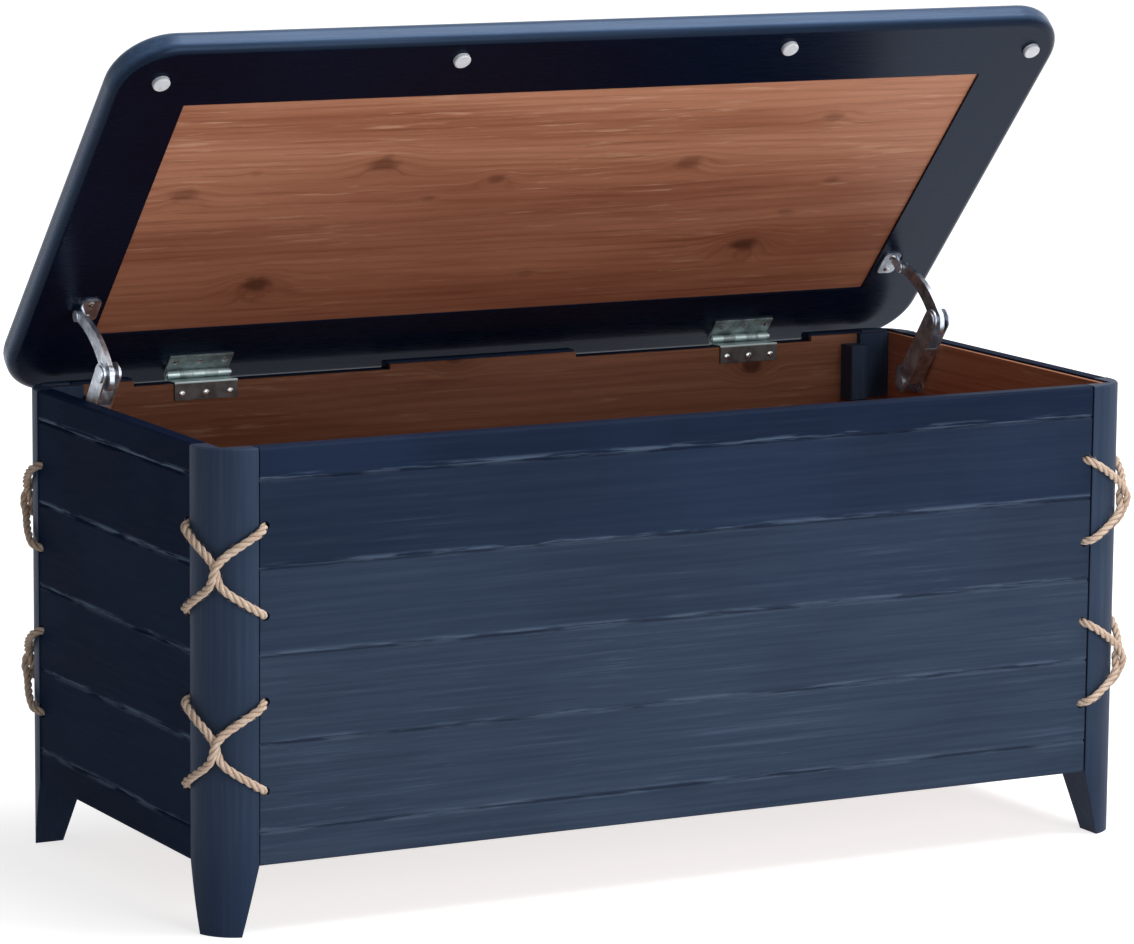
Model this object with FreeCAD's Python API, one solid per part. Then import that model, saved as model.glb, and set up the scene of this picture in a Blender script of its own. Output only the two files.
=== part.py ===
import FreeCAD, Part
import math
import os

os.makedirs("parts", exist_ok=True)
V = FreeCAD.Vector

# A plank-sided storage chest on four corner posts, with a hinged lid shown partly open.
# The frame: +X along the chest, +Z up, front faces -Y, origin on the floor under the middle.
# All lengths are millimetres and all angles are degrees.

# Body
body_width = 1000.0
body_depth = 459.0
body_height = 454.5

# Corner posts and their feet
post_width = 47.5
post_corner_radius = 43.0
post_leg = 17.0
post_top_chamfer = 1.5
foot_height = 65.5
foot_bottom_width = 31.0

# Wall boards, from the bottom rail up to the top rail
board_thickness = 16.0
board_end_gap = 1.5
board_chamfer = 2.2
bottom_rail_height = 32.0
top_rail_height = 30.5
board_count = 4
tongue_thickness = 5.0
tongue_height = 6.0
tongue_clearance = 0.3

# Cedar lining, floor and the strips that carry the floor
liner_thickness = 5.0
liner_top_drop = 2.0
floor_thickness = 10.0
floor_clearance = 0.5
floor_cleat_width = 18.0
floor_cleat_height = 12.0

# Stepped blocks in the two rear inside corners, a thin pad and a thicker step beside it
corner_pad_width = 35.0
corner_pad_thickness = 7.0
corner_pad_top_gap = 1.5
corner_step_width = 19.0
corner_step_thickness = 23.0
corner_step_top_gap = 12.0
corner_block_drop = 70.0
corner_block_edge = 1.2

# Shallow notches in the back wall's top, one for each hinge
notch_inner_share = 0.212
notch_outer_share = 0.774
notch_depth = 7.5

# Lid, with a framed border and a sunk cedar panel underneath
lid_side_overhang = 17.0
lid_front_overhang = 11.0
lid_rear_overhang = 20.0
lid_thickness = 26.0
lid_corner_radius = 58.0
lid_edge_radius = 9.0
lid_gap = 5.0
lid_border_side = 79.5
lid_border_front = 77.0
lid_border_rear = 84.0
lid_recess_depth = 8.0
lid_panel_thickness = 5.0
lid_open_angle = 48.0

# Bumpers under the lid's front edge
bumper_radius = 8.5
bumper_height = 4.7
bumper_crown = 1.6
bumper_inner_share = 0.36
bumper_inner_shift = 15.0
bumper_outer_shift = 6.5
bumper_outer_inset = 40.0
bumper_inner_setback = 27.0
bumper_outer_setback = 43.5

# Butt hinges, with knuckles over the back wall's outer edge
hinge_place_share = 0.62
hinge_width = 68.0
hinge_axis_inset = 3.5
hinge_leaf_thickness = 2.0
hinge_barrel_radius = 4.0
hinge_pin_radius = 1.7
hinge_running_clearance = 0.05
hinge_knuckle_count = 5
hinge_knuckle_gap = 0.3
hinge_lower_drop = 18.5
hinge_upper_reach = 22.0
hinge_pin_head_radius = 3.0
hinge_pin_head_thickness = 1.2

# Screws of the hinges and stays
screw_pitch = 26.0
screw_head_radius = 3.4
screw_head_height = 1.1
screw_shank_radius = 1.6
screw_shank_length = 11.0
screw_shank_clearance = 0.2
hinge_screw_drop = 12.0
hinge_screw_reach = 13.5

# Folding lid stays, one on each side wall; the wall plate's last screw is measured from the rear post,
# the other pivots from the hinge line and the body's top
stay_centre_inset = 12.0
stay_wall_pivot_drop = 46.0
stay_elbow_forward = 140.0
stay_elbow_rise = 26.5
stay_lid_pivot_reach = 101.5
stay_lid_pivot_drop = 7.5
stay_plate_thickness = 2.0
stay_wall_plate_height = 24.0
stay_wall_plate_front = 12.0
stay_wall_plate_back = 40.0
stay_wall_screw_first = 16.0
stay_wall_screw_pitch = 15.0
stay_screw_post_gap = 10.5
stay_pin_radius = 3.0
stay_pin_clearance = 0.05
stay_side_clearance = 0.3
stay_head_radius = 6.0
stay_head_thickness = 1.5
stay_channel_width = 17.0
stay_cheek_thickness = 1.6
stay_channel_radius = 11.0
stay_web_start = 8.0
stay_web_length = 50.0
stay_strap_thickness = 5.0
stay_strap_end_radius = 4.6
stay_strap_elbow_radius = 10.5
stay_strap_bow = 9.0
stay_strap_tail = 6.0
stay_elbow_pin_radius = 2.5
stay_elbow_play = 3.0
stay_elbow_head_radius = 8.6
stay_collar_radius = 4.8
stay_ear_radius = 5.6
stay_ear_thickness = 2.0
stay_lid_plate_width = 20.0
stay_lid_plate_length = 30.0
stay_lid_screw_setback = 9.0

# Jute rope lashings, two crosses on each post
rope_diameter = 8.0
rope_hole_clearance = 0.3
rope_surface_clearance = 0.35
rope_hole_offset = 7.0
rope_half_height_share = 0.512
rope_twist_half_height = 13.0
rope_exit_lift = 2.6
rope_twist_gap = 0.4
rope_end_gap = 0.5
lashing_drop = 2.0
rope_twist_entry_share = 0.5

# One overrun serves every cut
cut_overrun = 5.0

# Places worked out from the sizes above
half_width = body_width / 2.0
half_depth = body_depth / 2.0
board_height = (body_height - foot_height - bottom_rail_height - top_rail_height) / board_count
rope_half_height = rope_half_height_share * board_height
hinge_x = hinge_place_share * half_width
notch_inner = notch_inner_share * half_width
notch_outer = notch_outer_share * half_width
bumper_inner_x = bumper_inner_share * half_width
bumper_outer_x = half_width + lid_side_overhang - bumper_outer_inset
wall_inner_x = half_width - post_leg
wall_inner_y = half_depth - post_leg
liner_face_x = wall_inner_x - liner_thickness
liner_face_y = wall_inner_y - liner_thickness
liner_top_z = body_height - liner_top_drop
board_half_x = half_width - post_width - board_end_gap
board_half_y = half_depth - post_width - board_end_gap
hinge_axis_y = half_depth - hinge_axis_inset
lid_under_z = body_height + lid_gap
hinge_axis_z = (lid_under_z + body_height - notch_depth) / 2.0
rope_radius = rope_diameter / 2.0
front_board_z = [foot_height]
for step in range(board_count + 1):
    front_board_z.append(foot_height + bottom_rail_height + step * board_height)
lashing_z = [
    body_height - top_rail_height - board_height - lashing_drop,
    body_height - top_rail_height - (board_count - 1) * board_height - lashing_drop,
]
rope_hole_z = []
for centre in lashing_z:
    rope_hole_z.append(centre + rope_half_height)
    rope_hole_z.append(centre - rope_half_height)


def box(x0, y0, z0, x1, y1, z1):
    """Box between two corners."""
    return Part.makeBox(x1 - x0, y1 - y0, z1 - z0, V(x0, y0, z0))


def cylinder(radius, start, end):
    """Round bar of one radius from start to end."""
    axis = end.sub(start)
    return Part.makeCylinder(radius, axis.Length, start, axis)


def group(shapes):
    """Several separate solids that share one node."""
    return Part.makeCompound(shapes)


def mirror_x(shape):
    """The same shape on the other side of the chest."""
    return shape.mirror(V(0, 0, 0), V(1, 0, 0))


def mirror_y(shape):
    """The same shape at the other end of the depth."""
    return shape.mirror(V(0, 0, 0), V(0, 1, 0))


def export(name, shape):
    """Write one node."""
    shape.exportStep("parts/" + name + ".step")


# Corner posts
def front_left_post():
    """L-shaped post above, solid tapered foot below, with a large rounded outer corner."""
    x0 = -half_width
    y0 = -half_depth
    radius = post_corner_radius
    centre = V(x0 + radius, y0 + radius, 0)
    half_root = math.sqrt(2) / 2.0
    middle = V(centre.x - radius * half_root, centre.y - radius * half_root, 0)
    outline = Part.Wire([
        Part.Arc(V(x0, centre.y, 0), middle, V(centre.x, y0, 0)).toShape(),
        Part.makeLine(V(centre.x, y0, 0), V(x0 + post_width, y0, 0)),
        Part.makeLine(V(x0 + post_width, y0, 0), V(x0 + post_width, y0 + post_width, 0)),
        Part.makeLine(V(x0 + post_width, y0 + post_width, 0), V(x0, y0 + post_width, 0)),
        Part.makeLine(V(x0, y0 + post_width, 0), V(x0, centre.y, 0)),
    ])
    post = Part.Face(outline).extrude(V(0, 0, body_height))
    inside = box(
        x0 + post_leg, y0 + post_leg, foot_height,
        x0 + post_width + cut_overrun, y0 + post_width + cut_overrun, body_height + cut_overrun,
    )
    post = post.cut(inside)
    taper_x = Part.Face(Part.makePolygon([
        V(x0 + post_width, y0 - cut_overrun, foot_height),
        V(x0 + foot_bottom_width, y0 - cut_overrun, 0),
        V(x0 + post_width + cut_overrun, y0 - cut_overrun, 0),
        V(x0 + post_width + cut_overrun, y0 - cut_overrun, foot_height),
        V(x0 + post_width, y0 - cut_overrun, foot_height),
    ])).extrude(V(0, post_width + 2 * cut_overrun, 0))
    taper_y = Part.Face(Part.makePolygon([
        V(x0 - cut_overrun, y0 + post_width, foot_height),
        V(x0 - cut_overrun, y0 + foot_bottom_width, 0),
        V(x0 - cut_overrun, y0 + post_width + cut_overrun, 0),
        V(x0 - cut_overrun, y0 + post_width + cut_overrun, foot_height),
        V(x0 - cut_overrun, y0 + post_width, foot_height),
    ])).extrude(V(post_width + 2 * cut_overrun, 0, 0))
    post = post.cut(taper_x).cut(taper_y)
    rim = [
        edge for edge in post.Edges
        if edge.BoundBox.ZMin > body_height - post_top_chamfer
        and (edge.BoundBox.XMin < x0 + post_top_chamfer or edge.BoundBox.YMin < y0 + post_top_chamfer)
        and edge.BoundBox.XMax < x0 + post_width + post_top_chamfer
    ]
    outer = [
        edge for edge in rim
        if edge.BoundBox.XMin < x0 + post_top_chamfer and edge.BoundBox.YMin < y0 + post_top_chamfer
        or edge.BoundBox.XMax < x0 + post_top_chamfer or edge.BoundBox.YMax < y0 + post_top_chamfer
    ]
    return post.makeChamfer(post_top_chamfer, outer)


# Wall boards
def board(length, z_low, height, tongue, groove):
    """One plank along X with its outer face on y=0, its thickness towards +Y."""
    chamfer = board_chamfer
    profile = Part.makePolygon([
        V(-length / 2.0, 0, z_low + chamfer),
        V(-length / 2.0, 0, z_low + height - chamfer),
        V(-length / 2.0, chamfer, z_low + height),
        V(-length / 2.0, board_thickness, z_low + height),
        V(-length / 2.0, board_thickness, z_low),
        V(-length / 2.0, chamfer, z_low),
        V(-length / 2.0, 0, z_low + chamfer),
    ])
    plank = Part.Face(profile).extrude(V(length, 0, 0))
    middle = (board_thickness + chamfer) / 2.0
    half = tongue_thickness / 2.0
    if tongue:
        top = z_low + height
        plank = plank.fuse(box(-length / 2.0, middle - half, top, length / 2.0, middle + half, top + tongue_height))
    if groove:
        half = half + tongue_clearance
        plank = plank.cut(box(
            -length / 2.0 - cut_overrun, middle - half, z_low - cut_overrun,
            length / 2.0 + cut_overrun, middle + half, z_low + tongue_height + tongue_clearance,
        ))
    for z in rope_hole_z:
        if z_low < z < z_low + height:
            for side in (-1, 1):
                x = side * (length / 2.0 + board_end_gap - rope_hole_offset)
                hole = cylinder(
                    rope_radius + rope_hole_clearance, V(x, -cut_overrun, z), V(x, board_thickness + cut_overrun, z),
                )
                plank = plank.cut(hole)
    return plank.removeSplitter()


def wall_boards(length):
    """The planks of one wall, each as a name ending and a shape, from the bottom up."""
    boards = [("bottom_rail", board(length, front_board_z[0], bottom_rail_height, True, False))]
    for number in range(board_count):
        z_low = front_board_z[number + 1]
        boards.append(("board_%d" % (board_count - number), board(length, z_low, board_height, True, True)))
    boards.append(("top_rail", board(length, front_board_z[-1], top_rail_height, False, True)))
    return boards


def hinge_notches(y0, y1):
    """Cutters for the two notches in the back wall's top."""
    cutters = []
    for side in (-1, 1):
        low = min(side * notch_inner, side * notch_outer)
        high = max(side * notch_inner, side * notch_outer)
        cutters.append(box(low, y0, body_height - notch_depth, high, y1, body_height + cut_overrun))
    return cutters


def export_walls():
    """Four walls of planks; the back wall's top rail has the hinge notches."""
    face_y = half_depth - post_leg + board_thickness
    face_x = half_width - post_leg + board_thickness
    for name, shape in wall_boards(2 * board_half_x):
        front = shape.copy()
        front.translate(V(0, -face_y, 0))
        back = mirror_y(front)
        if name == "top_rail":
            for cutter in hinge_notches(wall_inner_y - cut_overrun, half_depth + cut_overrun):
                back = back.cut(cutter)
        export("front_" + name, front)
        export("back_" + name, back)
    for name, shape in wall_boards(2 * board_half_y):
        left = shape.copy()
        left.rotate(V(0, 0, 0), V(0, 0, 1), -90)
        left.translate(V(-face_x, 0, 0))
        export("left_" + name, left)
        export("right_" + name, mirror_x(left))


# Cedar lining and floor
def front_liner():
    """Thin cedar sheet behind the front boards and posts."""
    return box(-wall_inner_x, -wall_inner_y, foot_height, wall_inner_x, -liner_face_y, liner_top_z)


def back_liner():
    """Cedar sheet inside the back wall, with the hinge notches."""
    sheet = mirror_y(front_liner())
    for cutter in hinge_notches(liner_face_y - cut_overrun, wall_inner_y + cut_overrun):
        sheet = sheet.cut(cutter)
    return sheet


def left_liner():
    """Cedar sheet between the front and back sheets."""
    return box(-wall_inner_x, -liner_face_y, foot_height, -liner_face_x, liner_face_y, liner_top_z)


def floor_panel():
    """Loose cedar floor that lies on the cleats."""
    z = foot_height + floor_cleat_height
    x = liner_face_x - floor_clearance
    y = liner_face_y - floor_clearance
    return box(-x, -y, z, x, y, z + floor_thickness)


def floor_cleats():
    """Two strips along the front and back lining that carry the floor."""
    x = liner_face_x - floor_clearance
    z = foot_height
    front = box(-x, -liner_face_y, z, x, -liner_face_y + floor_cleat_width, z + floor_cleat_height)
    return group([front, mirror_y(front)])


def corner_blocks():
    """Stepped painted blocks in the two rear inside corners."""
    x0 = liner_face_x - corner_pad_width
    y1 = liner_face_y
    top = body_height
    low = top - corner_block_drop
    pad = box(x0, y1 - corner_pad_thickness, low, liner_face_x, y1, top - corner_pad_top_gap)
    step = box(x0 - corner_step_width, y1 - corner_step_thickness, low, x0, y1, top - corner_step_top_gap)
    sharp = [edge for edge in step.Edges if edge.BoundBox.YMax < y1 - corner_step_thickness / 2.0]
    right = pad.fuse(step.makeChamfer(corner_block_edge, sharp)).removeSplitter()
    return group([mirror_x(right), right])


# Lid pieces are built closed and then turned open about the hinge line
def open_lid(shape):
    """Turn a lid piece from closed to its rest position."""
    turned = shape.copy()
    turned.rotate(V(0, hinge_axis_y, hinge_axis_z), V(1, 0, 0), -lid_open_angle)
    return turned


def lid_outline_face(z):
    """Rounded rectangle of the whole lid at one height."""
    x = half_width + lid_side_overhang
    y0 = -half_depth - lid_front_overhang
    y1 = half_depth + lid_rear_overhang
    return box(-x, y0, z, x, y1, z + lid_thickness)


def lid_panel():
    """Lid with rounded corners and edges and a recess underneath for the cedar."""
    slab = lid_outline_face(lid_under_z)
    upright = [edge for edge in slab.Edges if edge.BoundBox.ZLength > lid_thickness / 2.0]
    slab = slab.makeFillet(lid_corner_radius, upright)
    rims = [edge for edge in slab.Edges if edge.BoundBox.ZLength < lid_thickness / 2.0]
    slab = slab.makeFillet(lid_edge_radius, rims)
    recess = lid_recess(lid_recess_depth + cut_overrun, -cut_overrun)
    return slab.cut(recess)


def lid_recess(depth, start):
    """Space of the sunk cedar panel, from start above the underside, depth tall."""
    x = half_width + lid_side_overhang - lid_border_side
    y0 = -half_depth - lid_front_overhang + lid_border_front
    y1 = half_depth + lid_rear_overhang - lid_border_rear
    z = lid_under_z + start
    return box(-x, y0, z, x, y1, z + depth)


def lid_cedar_panel():
    """Cedar panel against the roof of the recess."""
    return lid_recess(lid_panel_thickness, lid_recess_depth - lid_panel_thickness)


def lid_bumpers():
    """Four soft domed bumpers near the lid's front edge, set a little to the right."""
    front = -half_depth - lid_front_overhang
    places = []
    for side in (-1, 1):
        places.append((side * bumper_outer_x + bumper_outer_shift, front + bumper_outer_setback))
        places.append((side * bumper_inner_x + bumper_inner_shift, front + bumper_inner_setback))
    bumpers = []
    for x, y in places:
        foot = V(x, y, lid_under_z)
        button = cylinder(bumper_radius, foot, V(x, y, lid_under_z - bumper_height))
        rim = [edge for edge in button.Edges if edge.BoundBox.ZMax < lid_under_z - bumper_height / 2.0]
        bumpers.append(button.makeFillet(bumper_crown, rim))
    return group(bumpers)


# Hinges
def hinge_knuckles(x_centre, first):
    """Every second knuckle of a barrel, starting with knuckle first, with its bore."""
    pitch = hinge_width / hinge_knuckle_count
    low = x_centre - hinge_width / 2.0
    bore_radius = hinge_pin_radius + hinge_running_clearance
    knuckles = []
    for number in range(first, hinge_knuckle_count, 2):
        x0 = low + number * pitch + hinge_knuckle_gap / 2.0
        x1 = low + (number + 1) * pitch - hinge_knuckle_gap / 2.0
        barrel = cylinder(hinge_barrel_radius, V(x0, hinge_axis_y, hinge_axis_z), V(x1, hinge_axis_y, hinge_axis_z))
        knuckles.append((x0, x1, barrel))
    bore = cylinder(
        bore_radius, V(low - cut_overrun, hinge_axis_y, hinge_axis_z),
        V(low + hinge_width + cut_overrun, hinge_axis_y, hinge_axis_z),
    )
    return knuckles, bore


def hinge_lower_leaf(x_centre):
    """Leaf that lies in the notch and folds down over the lining."""
    x0 = x_centre - hinge_width / 2.0
    x1 = x_centre + hinge_width / 2.0
    z0 = body_height - notch_depth
    z1 = z0 + hinge_leaf_thickness
    y0 = liner_face_y - hinge_leaf_thickness
    y1 = hinge_axis_y + hinge_barrel_radius
    leaf = box(x0, y0, z0, x1, y1, z1)
    leaf = leaf.fuse(box(x0, y0, z1 - hinge_lower_drop, x1, liner_face_y, z1))
    knuckles, bore = hinge_knuckles(x_centre, 0)
    for low, high, barrel in knuckles:
        riser = box(low, y1 - hinge_leaf_thickness, z0, high, y1, hinge_axis_z)
        leaf = leaf.fuse(barrel).fuse(riser)
    leaf = leaf.cut(bore)
    for x, y, z in hinge_body_screw_places(x_centre):
        leaf = leaf.cut(cylinder(screw_shank_radius + screw_shank_clearance, V(x, y - cut_overrun, z), V(x, y + cut_overrun, z)))
    return leaf.removeSplitter()


def hinge_upper_leaf(x_centre):
    """Cranked leaf under the lid, built closed."""
    x0 = x_centre - hinge_width / 2.0
    x1 = x_centre + hinge_width / 2.0
    y0 = hinge_axis_y - hinge_upper_reach
    y1 = hinge_axis_y + hinge_barrel_radius
    z1 = lid_under_z
    z0 = z1 - hinge_leaf_thickness
    leaf = box(x0, y0, z0, x1, y1, z1)
    knuckles, bore = hinge_knuckles(x_centre, 1)
    for low, high, barrel in knuckles:
        riser = box(low, y1 - hinge_leaf_thickness, hinge_axis_z, high, y1, z1)
        leaf = leaf.fuse(barrel).fuse(riser)
    leaf = leaf.cut(bore)
    for x, y, z in hinge_lid_screw_places(x_centre):
        leaf = leaf.cut(cylinder(screw_shank_radius + screw_shank_clearance, V(x, y, z - cut_overrun), V(x, y, z + cut_overrun)))
    return leaf.removeSplitter()


def hinge_body_screw_places(x_centre):
    """Centres of the lower leaf's screws on the leaf's face."""
    y = liner_face_y - hinge_leaf_thickness
    z = body_height - notch_depth - hinge_screw_drop + hinge_leaf_thickness
    return [(x_centre + step * screw_pitch, y, z) for step in (-1, 0, 1)]


def hinge_lid_screw_places(x_centre):
    """Centres of the upper leaf's screws on the leaf's face, with the lid closed."""
    y = hinge_axis_y - hinge_screw_reach
    z = lid_under_z - hinge_leaf_thickness
    return [(x_centre + step * screw_pitch, y, z) for step in (-1, 0, 1)]


def hinge_pins():
    """One headed pin for each hinge."""
    pins = []
    for side in (-1, 1):
        x0 = side * hinge_x - hinge_width / 2.0
        x1 = side * hinge_x + hinge_width / 2.0
        pin = cylinder(hinge_pin_radius, V(x0, hinge_axis_y, hinge_axis_z), V(x1, hinge_axis_y, hinge_axis_z))
        for start, end in ((x0 - hinge_pin_head_thickness, x0), (x1, x1 + hinge_pin_head_thickness)):
            pin = pin.fuse(cylinder(
                hinge_pin_head_radius, V(start, hinge_axis_y, hinge_axis_z), V(end, hinge_axis_y, hinge_axis_z),
            ))
        pins.append(pin)
    return group(pins)


def screw(face, inward):
    """Round-head screw with its head on a face and its shank along inward."""
    outward = inward * -1.0
    head = Part.makeCylinder(screw_head_radius, screw_head_height, face, outward)
    shank = Part.makeCylinder(screw_shank_radius, screw_shank_length, face, inward)
    return head.fuse(shank)


# Folding lid stays, modelled for the right-hand side and mirrored for the left
stay_x = liner_face_x - stay_centre_inset
last_wall_screw_y = half_depth - post_width - stay_screw_post_gap
wall_pivot_y = last_wall_screw_y - stay_wall_screw_pitch - stay_wall_screw_first
wall_pivot = V(0, wall_pivot_y, body_height - stay_wall_pivot_drop)
elbow = V(0, hinge_axis_y - stay_elbow_forward, body_height + stay_elbow_rise)
lid_pivot_closed = V(0, hinge_axis_y - stay_lid_pivot_reach, lid_under_z - stay_lid_pivot_drop)
open_turn = FreeCAD.Rotation(V(1, 0, 0), -lid_open_angle)
hinge_point = V(0, hinge_axis_y, hinge_axis_z)
lid_pivot = hinge_point.add(open_turn.multVec(lid_pivot_closed.sub(hinge_point)))
channel_outer_x = stay_x + stay_channel_width / 2.0
channel_inner_x = stay_x - stay_channel_width / 2.0
strap_outer_x = stay_x + stay_strap_thickness / 2.0
strap_inner_x = stay_x - stay_strap_thickness / 2.0


def at_x(point, x):
    """The same point at another place along X."""
    return V(x, point.y, point.z)


def disc(centre, radius, x0, x1):
    """Round plate about a pivot, from x0 to x1."""
    return cylinder(radius, at_x(centre, x0), at_x(centre, x1))


def stadium(start, end, radius, x0, x1):
    """Flat plate with round ends about two pivots."""
    along = end.sub(start)
    across = V(0, -along.z, along.y).normalize() * radius
    middle = Part.makePolygon([
        at_x(start.add(across), x0), at_x(end.add(across), x0),
        at_x(end.sub(across), x0), at_x(start.sub(across), x0), at_x(start.add(across), x0),
    ])
    plate = Part.Face(middle).extrude(V(x1 - x0, 0, 0))
    return plate.fuse(disc(start, radius, x0, x1)).fuse(disc(end, radius, x0, x1))


def stay_wall_screw_places():
    """Centres of the wall plate's screws on the plate's face."""
    x = liner_face_x - stay_plate_thickness
    first = wall_pivot.y + stay_wall_screw_first
    return [V(x, first + step * stay_wall_screw_pitch, wall_pivot.z) for step in (0, 1)]


def stay_wall_bracket():
    """Plate on the side lining with the lower arm's pivot stud and its head."""
    x0 = liner_face_x - stay_plate_thickness
    low = wall_pivot.z - stay_wall_plate_height / 2.0
    high = wall_pivot.z + stay_wall_plate_height / 2.0
    plate = box(x0, wall_pivot.y - stay_wall_plate_front, low, liner_face_x, wall_pivot.y + stay_wall_plate_back, high)
    upright = [edge for edge in plate.Edges if edge.BoundBox.XLength > stay_plate_thickness / 2.0]
    plate = plate.makeFillet(stay_wall_plate_height / 4.0, upright)
    boss = disc(wall_pivot, stay_head_radius, channel_outer_x + stay_side_clearance, x0)
    head_x = channel_inner_x - stay_side_clearance
    stud = disc(wall_pivot, stay_pin_radius, head_x, x0)
    head = disc(wall_pivot, stay_head_radius, head_x - stay_head_thickness, head_x)
    bracket = plate.fuse(boss).fuse(stud).fuse(head)
    for place in stay_wall_screw_places():
        hole = cylinder(
            screw_shank_radius + screw_shank_clearance,
            V(place.x - cut_overrun, place.y, place.z), V(place.x + cut_overrun, place.y, place.z),
        )
        bracket = bracket.cut(hole)
    return bracket.removeSplitter()


def stay_lower_arm():
    """Channel that swings on the wall bracket; its elbow holes leave the elbow pin some play."""
    outer_cheek = stadium(
        wall_pivot, elbow, stay_channel_radius, channel_outer_x - stay_cheek_thickness, channel_outer_x,
    )
    inner_cheek = stadium(
        wall_pivot, elbow, stay_channel_radius, channel_inner_x, channel_inner_x + stay_cheek_thickness,
    )
    along = elbow.sub(wall_pivot).normalize()
    across = V(0, -along.z, along.y)
    start = wall_pivot.add(along * stay_web_start)
    end = start.add(along * stay_web_length)
    far = across * stay_channel_radius
    near = across * (stay_channel_radius - stay_cheek_thickness)
    web = Part.Face(Part.makePolygon([
        at_x(start.add(far), channel_inner_x), at_x(end.add(far), channel_inner_x),
        at_x(end.add(near), channel_inner_x), at_x(start.add(near), channel_inner_x),
        at_x(start.add(far), channel_inner_x),
    ])).extrude(V(stay_channel_width, 0, 0))
    arm = outer_cheek.fuse(inner_cheek).fuse(web)
    x0 = channel_inner_x - cut_overrun
    x1 = channel_outer_x + cut_overrun
    arm = arm.cut(disc(wall_pivot, stay_pin_radius + stay_pin_clearance, x0, x1))
    arm = arm.cut(disc(elbow, stay_elbow_pin_radius + stay_elbow_play, x0, x1))
    return arm.removeSplitter()


def stay_upper_arm():
    """Bowed strap from the lid pivot to the elbow, wider at the elbow."""
    along = elbow.sub(lid_pivot)
    length = along.Length
    unit = along.normalize()
    outward = V(0, unit.z, -unit.y)
    tail = elbow.add(V(0, 0, -stay_strap_tail))
    bow = lid_pivot.add(unit * (length / 2.0)).add(outward * stay_strap_bow)
    narrow = stay_strap_end_radius
    wide = stay_strap_elbow_radius
    upper_top = at_x(lid_pivot.add(outward * narrow), strap_inner_x)
    upper_low = at_x(lid_pivot.sub(outward * narrow), strap_inner_x)
    elbow_top = at_x(elbow.add(outward * wide), strap_inner_x)
    elbow_low = at_x(elbow.sub(outward * wide), strap_inner_x)
    bow_top = at_x(bow.add(outward * (narrow + wide) / 2.0), strap_inner_x)
    bow_low = at_x(bow.sub(outward * (narrow + wide) / 2.0), strap_inner_x)
    outline = Part.Wire([
        Part.Arc(upper_top, bow_top, elbow_top).toShape(),
        Part.makeLine(elbow_top, elbow_low),
        Part.Arc(elbow_low, bow_low, upper_low).toShape(),
        Part.makeLine(upper_low, upper_top),
    ])
    strap = Part.Face(outline).extrude(V(stay_strap_thickness, 0, 0))
    strap = strap.fuse(disc(lid_pivot, narrow, strap_inner_x, strap_outer_x))
    strap = strap.fuse(stadium(elbow, tail, wide, strap_inner_x, strap_outer_x))
    x0 = strap_inner_x - cut_overrun
    x1 = strap_outer_x + cut_overrun
    strap = strap.cut(disc(lid_pivot, stay_elbow_pin_radius + stay_pin_clearance, x0, x1))
    strap = strap.cut(disc(elbow, stay_elbow_pin_radius + stay_pin_clearance, x0, x1))
    return strap.removeSplitter()


def stay_elbow_pin():
    """Rivet through the strap and the channel, with a collar each side of the strap."""
    low = channel_inner_x - stay_side_clearance
    high = channel_outer_x + stay_side_clearance
    pin = disc(elbow, stay_elbow_pin_radius, low, high)
    pin = pin.fuse(disc(elbow, stay_elbow_head_radius, low - stay_head_thickness, low))
    pin = pin.fuse(disc(elbow, stay_elbow_head_radius, high, high + stay_head_thickness))
    inner_room = channel_inner_x + stay_cheek_thickness + stay_side_clearance
    outer_room = channel_outer_x - stay_cheek_thickness - stay_side_clearance
    pin = pin.fuse(disc(elbow, stay_collar_radius, inner_room, strap_inner_x))
    return pin.fuse(disc(elbow, stay_collar_radius, strap_outer_x, outer_room))


def stay_lid_screw_places():
    """Centres of the lid plate's screws on the plate's face, with the lid closed."""
    x = strap_inner_x - stay_side_clearance - stay_lid_plate_width / 2.0
    z = lid_under_z - stay_plate_thickness
    return [V(x, lid_pivot_closed.y + side * stay_lid_screw_setback, z) for side in (-1, 1)]


def stay_lid_bracket():
    """Plate under the lid with an ear and the upper arm's pivot stud, built closed."""
    x1 = strap_inner_x - stay_side_clearance
    x0 = x1 - stay_lid_plate_width
    half = stay_lid_plate_length / 2.0
    pivot = lid_pivot_closed
    z0 = lid_under_z - stay_plate_thickness
    plate = box(x0, pivot.y - half, z0, x1, pivot.y + half, lid_under_z)
    upright = [edge for edge in plate.Edges if edge.BoundBox.ZLength > stay_plate_thickness / 2.0]
    plate = plate.makeFillet(stay_lid_plate_width / 4.0, upright)
    ear_x = x1 - stay_ear_thickness
    ear = disc(pivot, stay_ear_radius, ear_x, x1).common(box(
        ear_x, pivot.y - stay_ear_radius, pivot.z - stay_ear_radius, x1, pivot.y + stay_ear_radius, lid_under_z,
    ))
    neck = box(ear_x, pivot.y - stay_ear_radius, pivot.z, x1, pivot.y + stay_ear_radius, lid_under_z)
    head_x = strap_outer_x + stay_side_clearance
    stud = disc(pivot, stay_elbow_pin_radius, ear_x, head_x)
    head = disc(pivot, stay_ear_radius, head_x, head_x + stay_head_thickness)
    head = head.common(box(
        head_x, pivot.y - stay_ear_radius, pivot.z - stay_ear_radius,
        head_x + stay_head_thickness, pivot.y + stay_ear_radius, lid_under_z,
    ))
    bracket = plate.fuse(ear).fuse(neck).fuse(stud).fuse(head)
    for place in stay_lid_screw_places():
        hole = cylinder(
            screw_shank_radius + screw_shank_clearance,
            V(place.x, place.y, place.z - cut_overrun), V(place.x, place.y, place.z + cut_overrun),
        )
        bracket = bracket.cut(hole)
    return bracket.removeSplitter()


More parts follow.
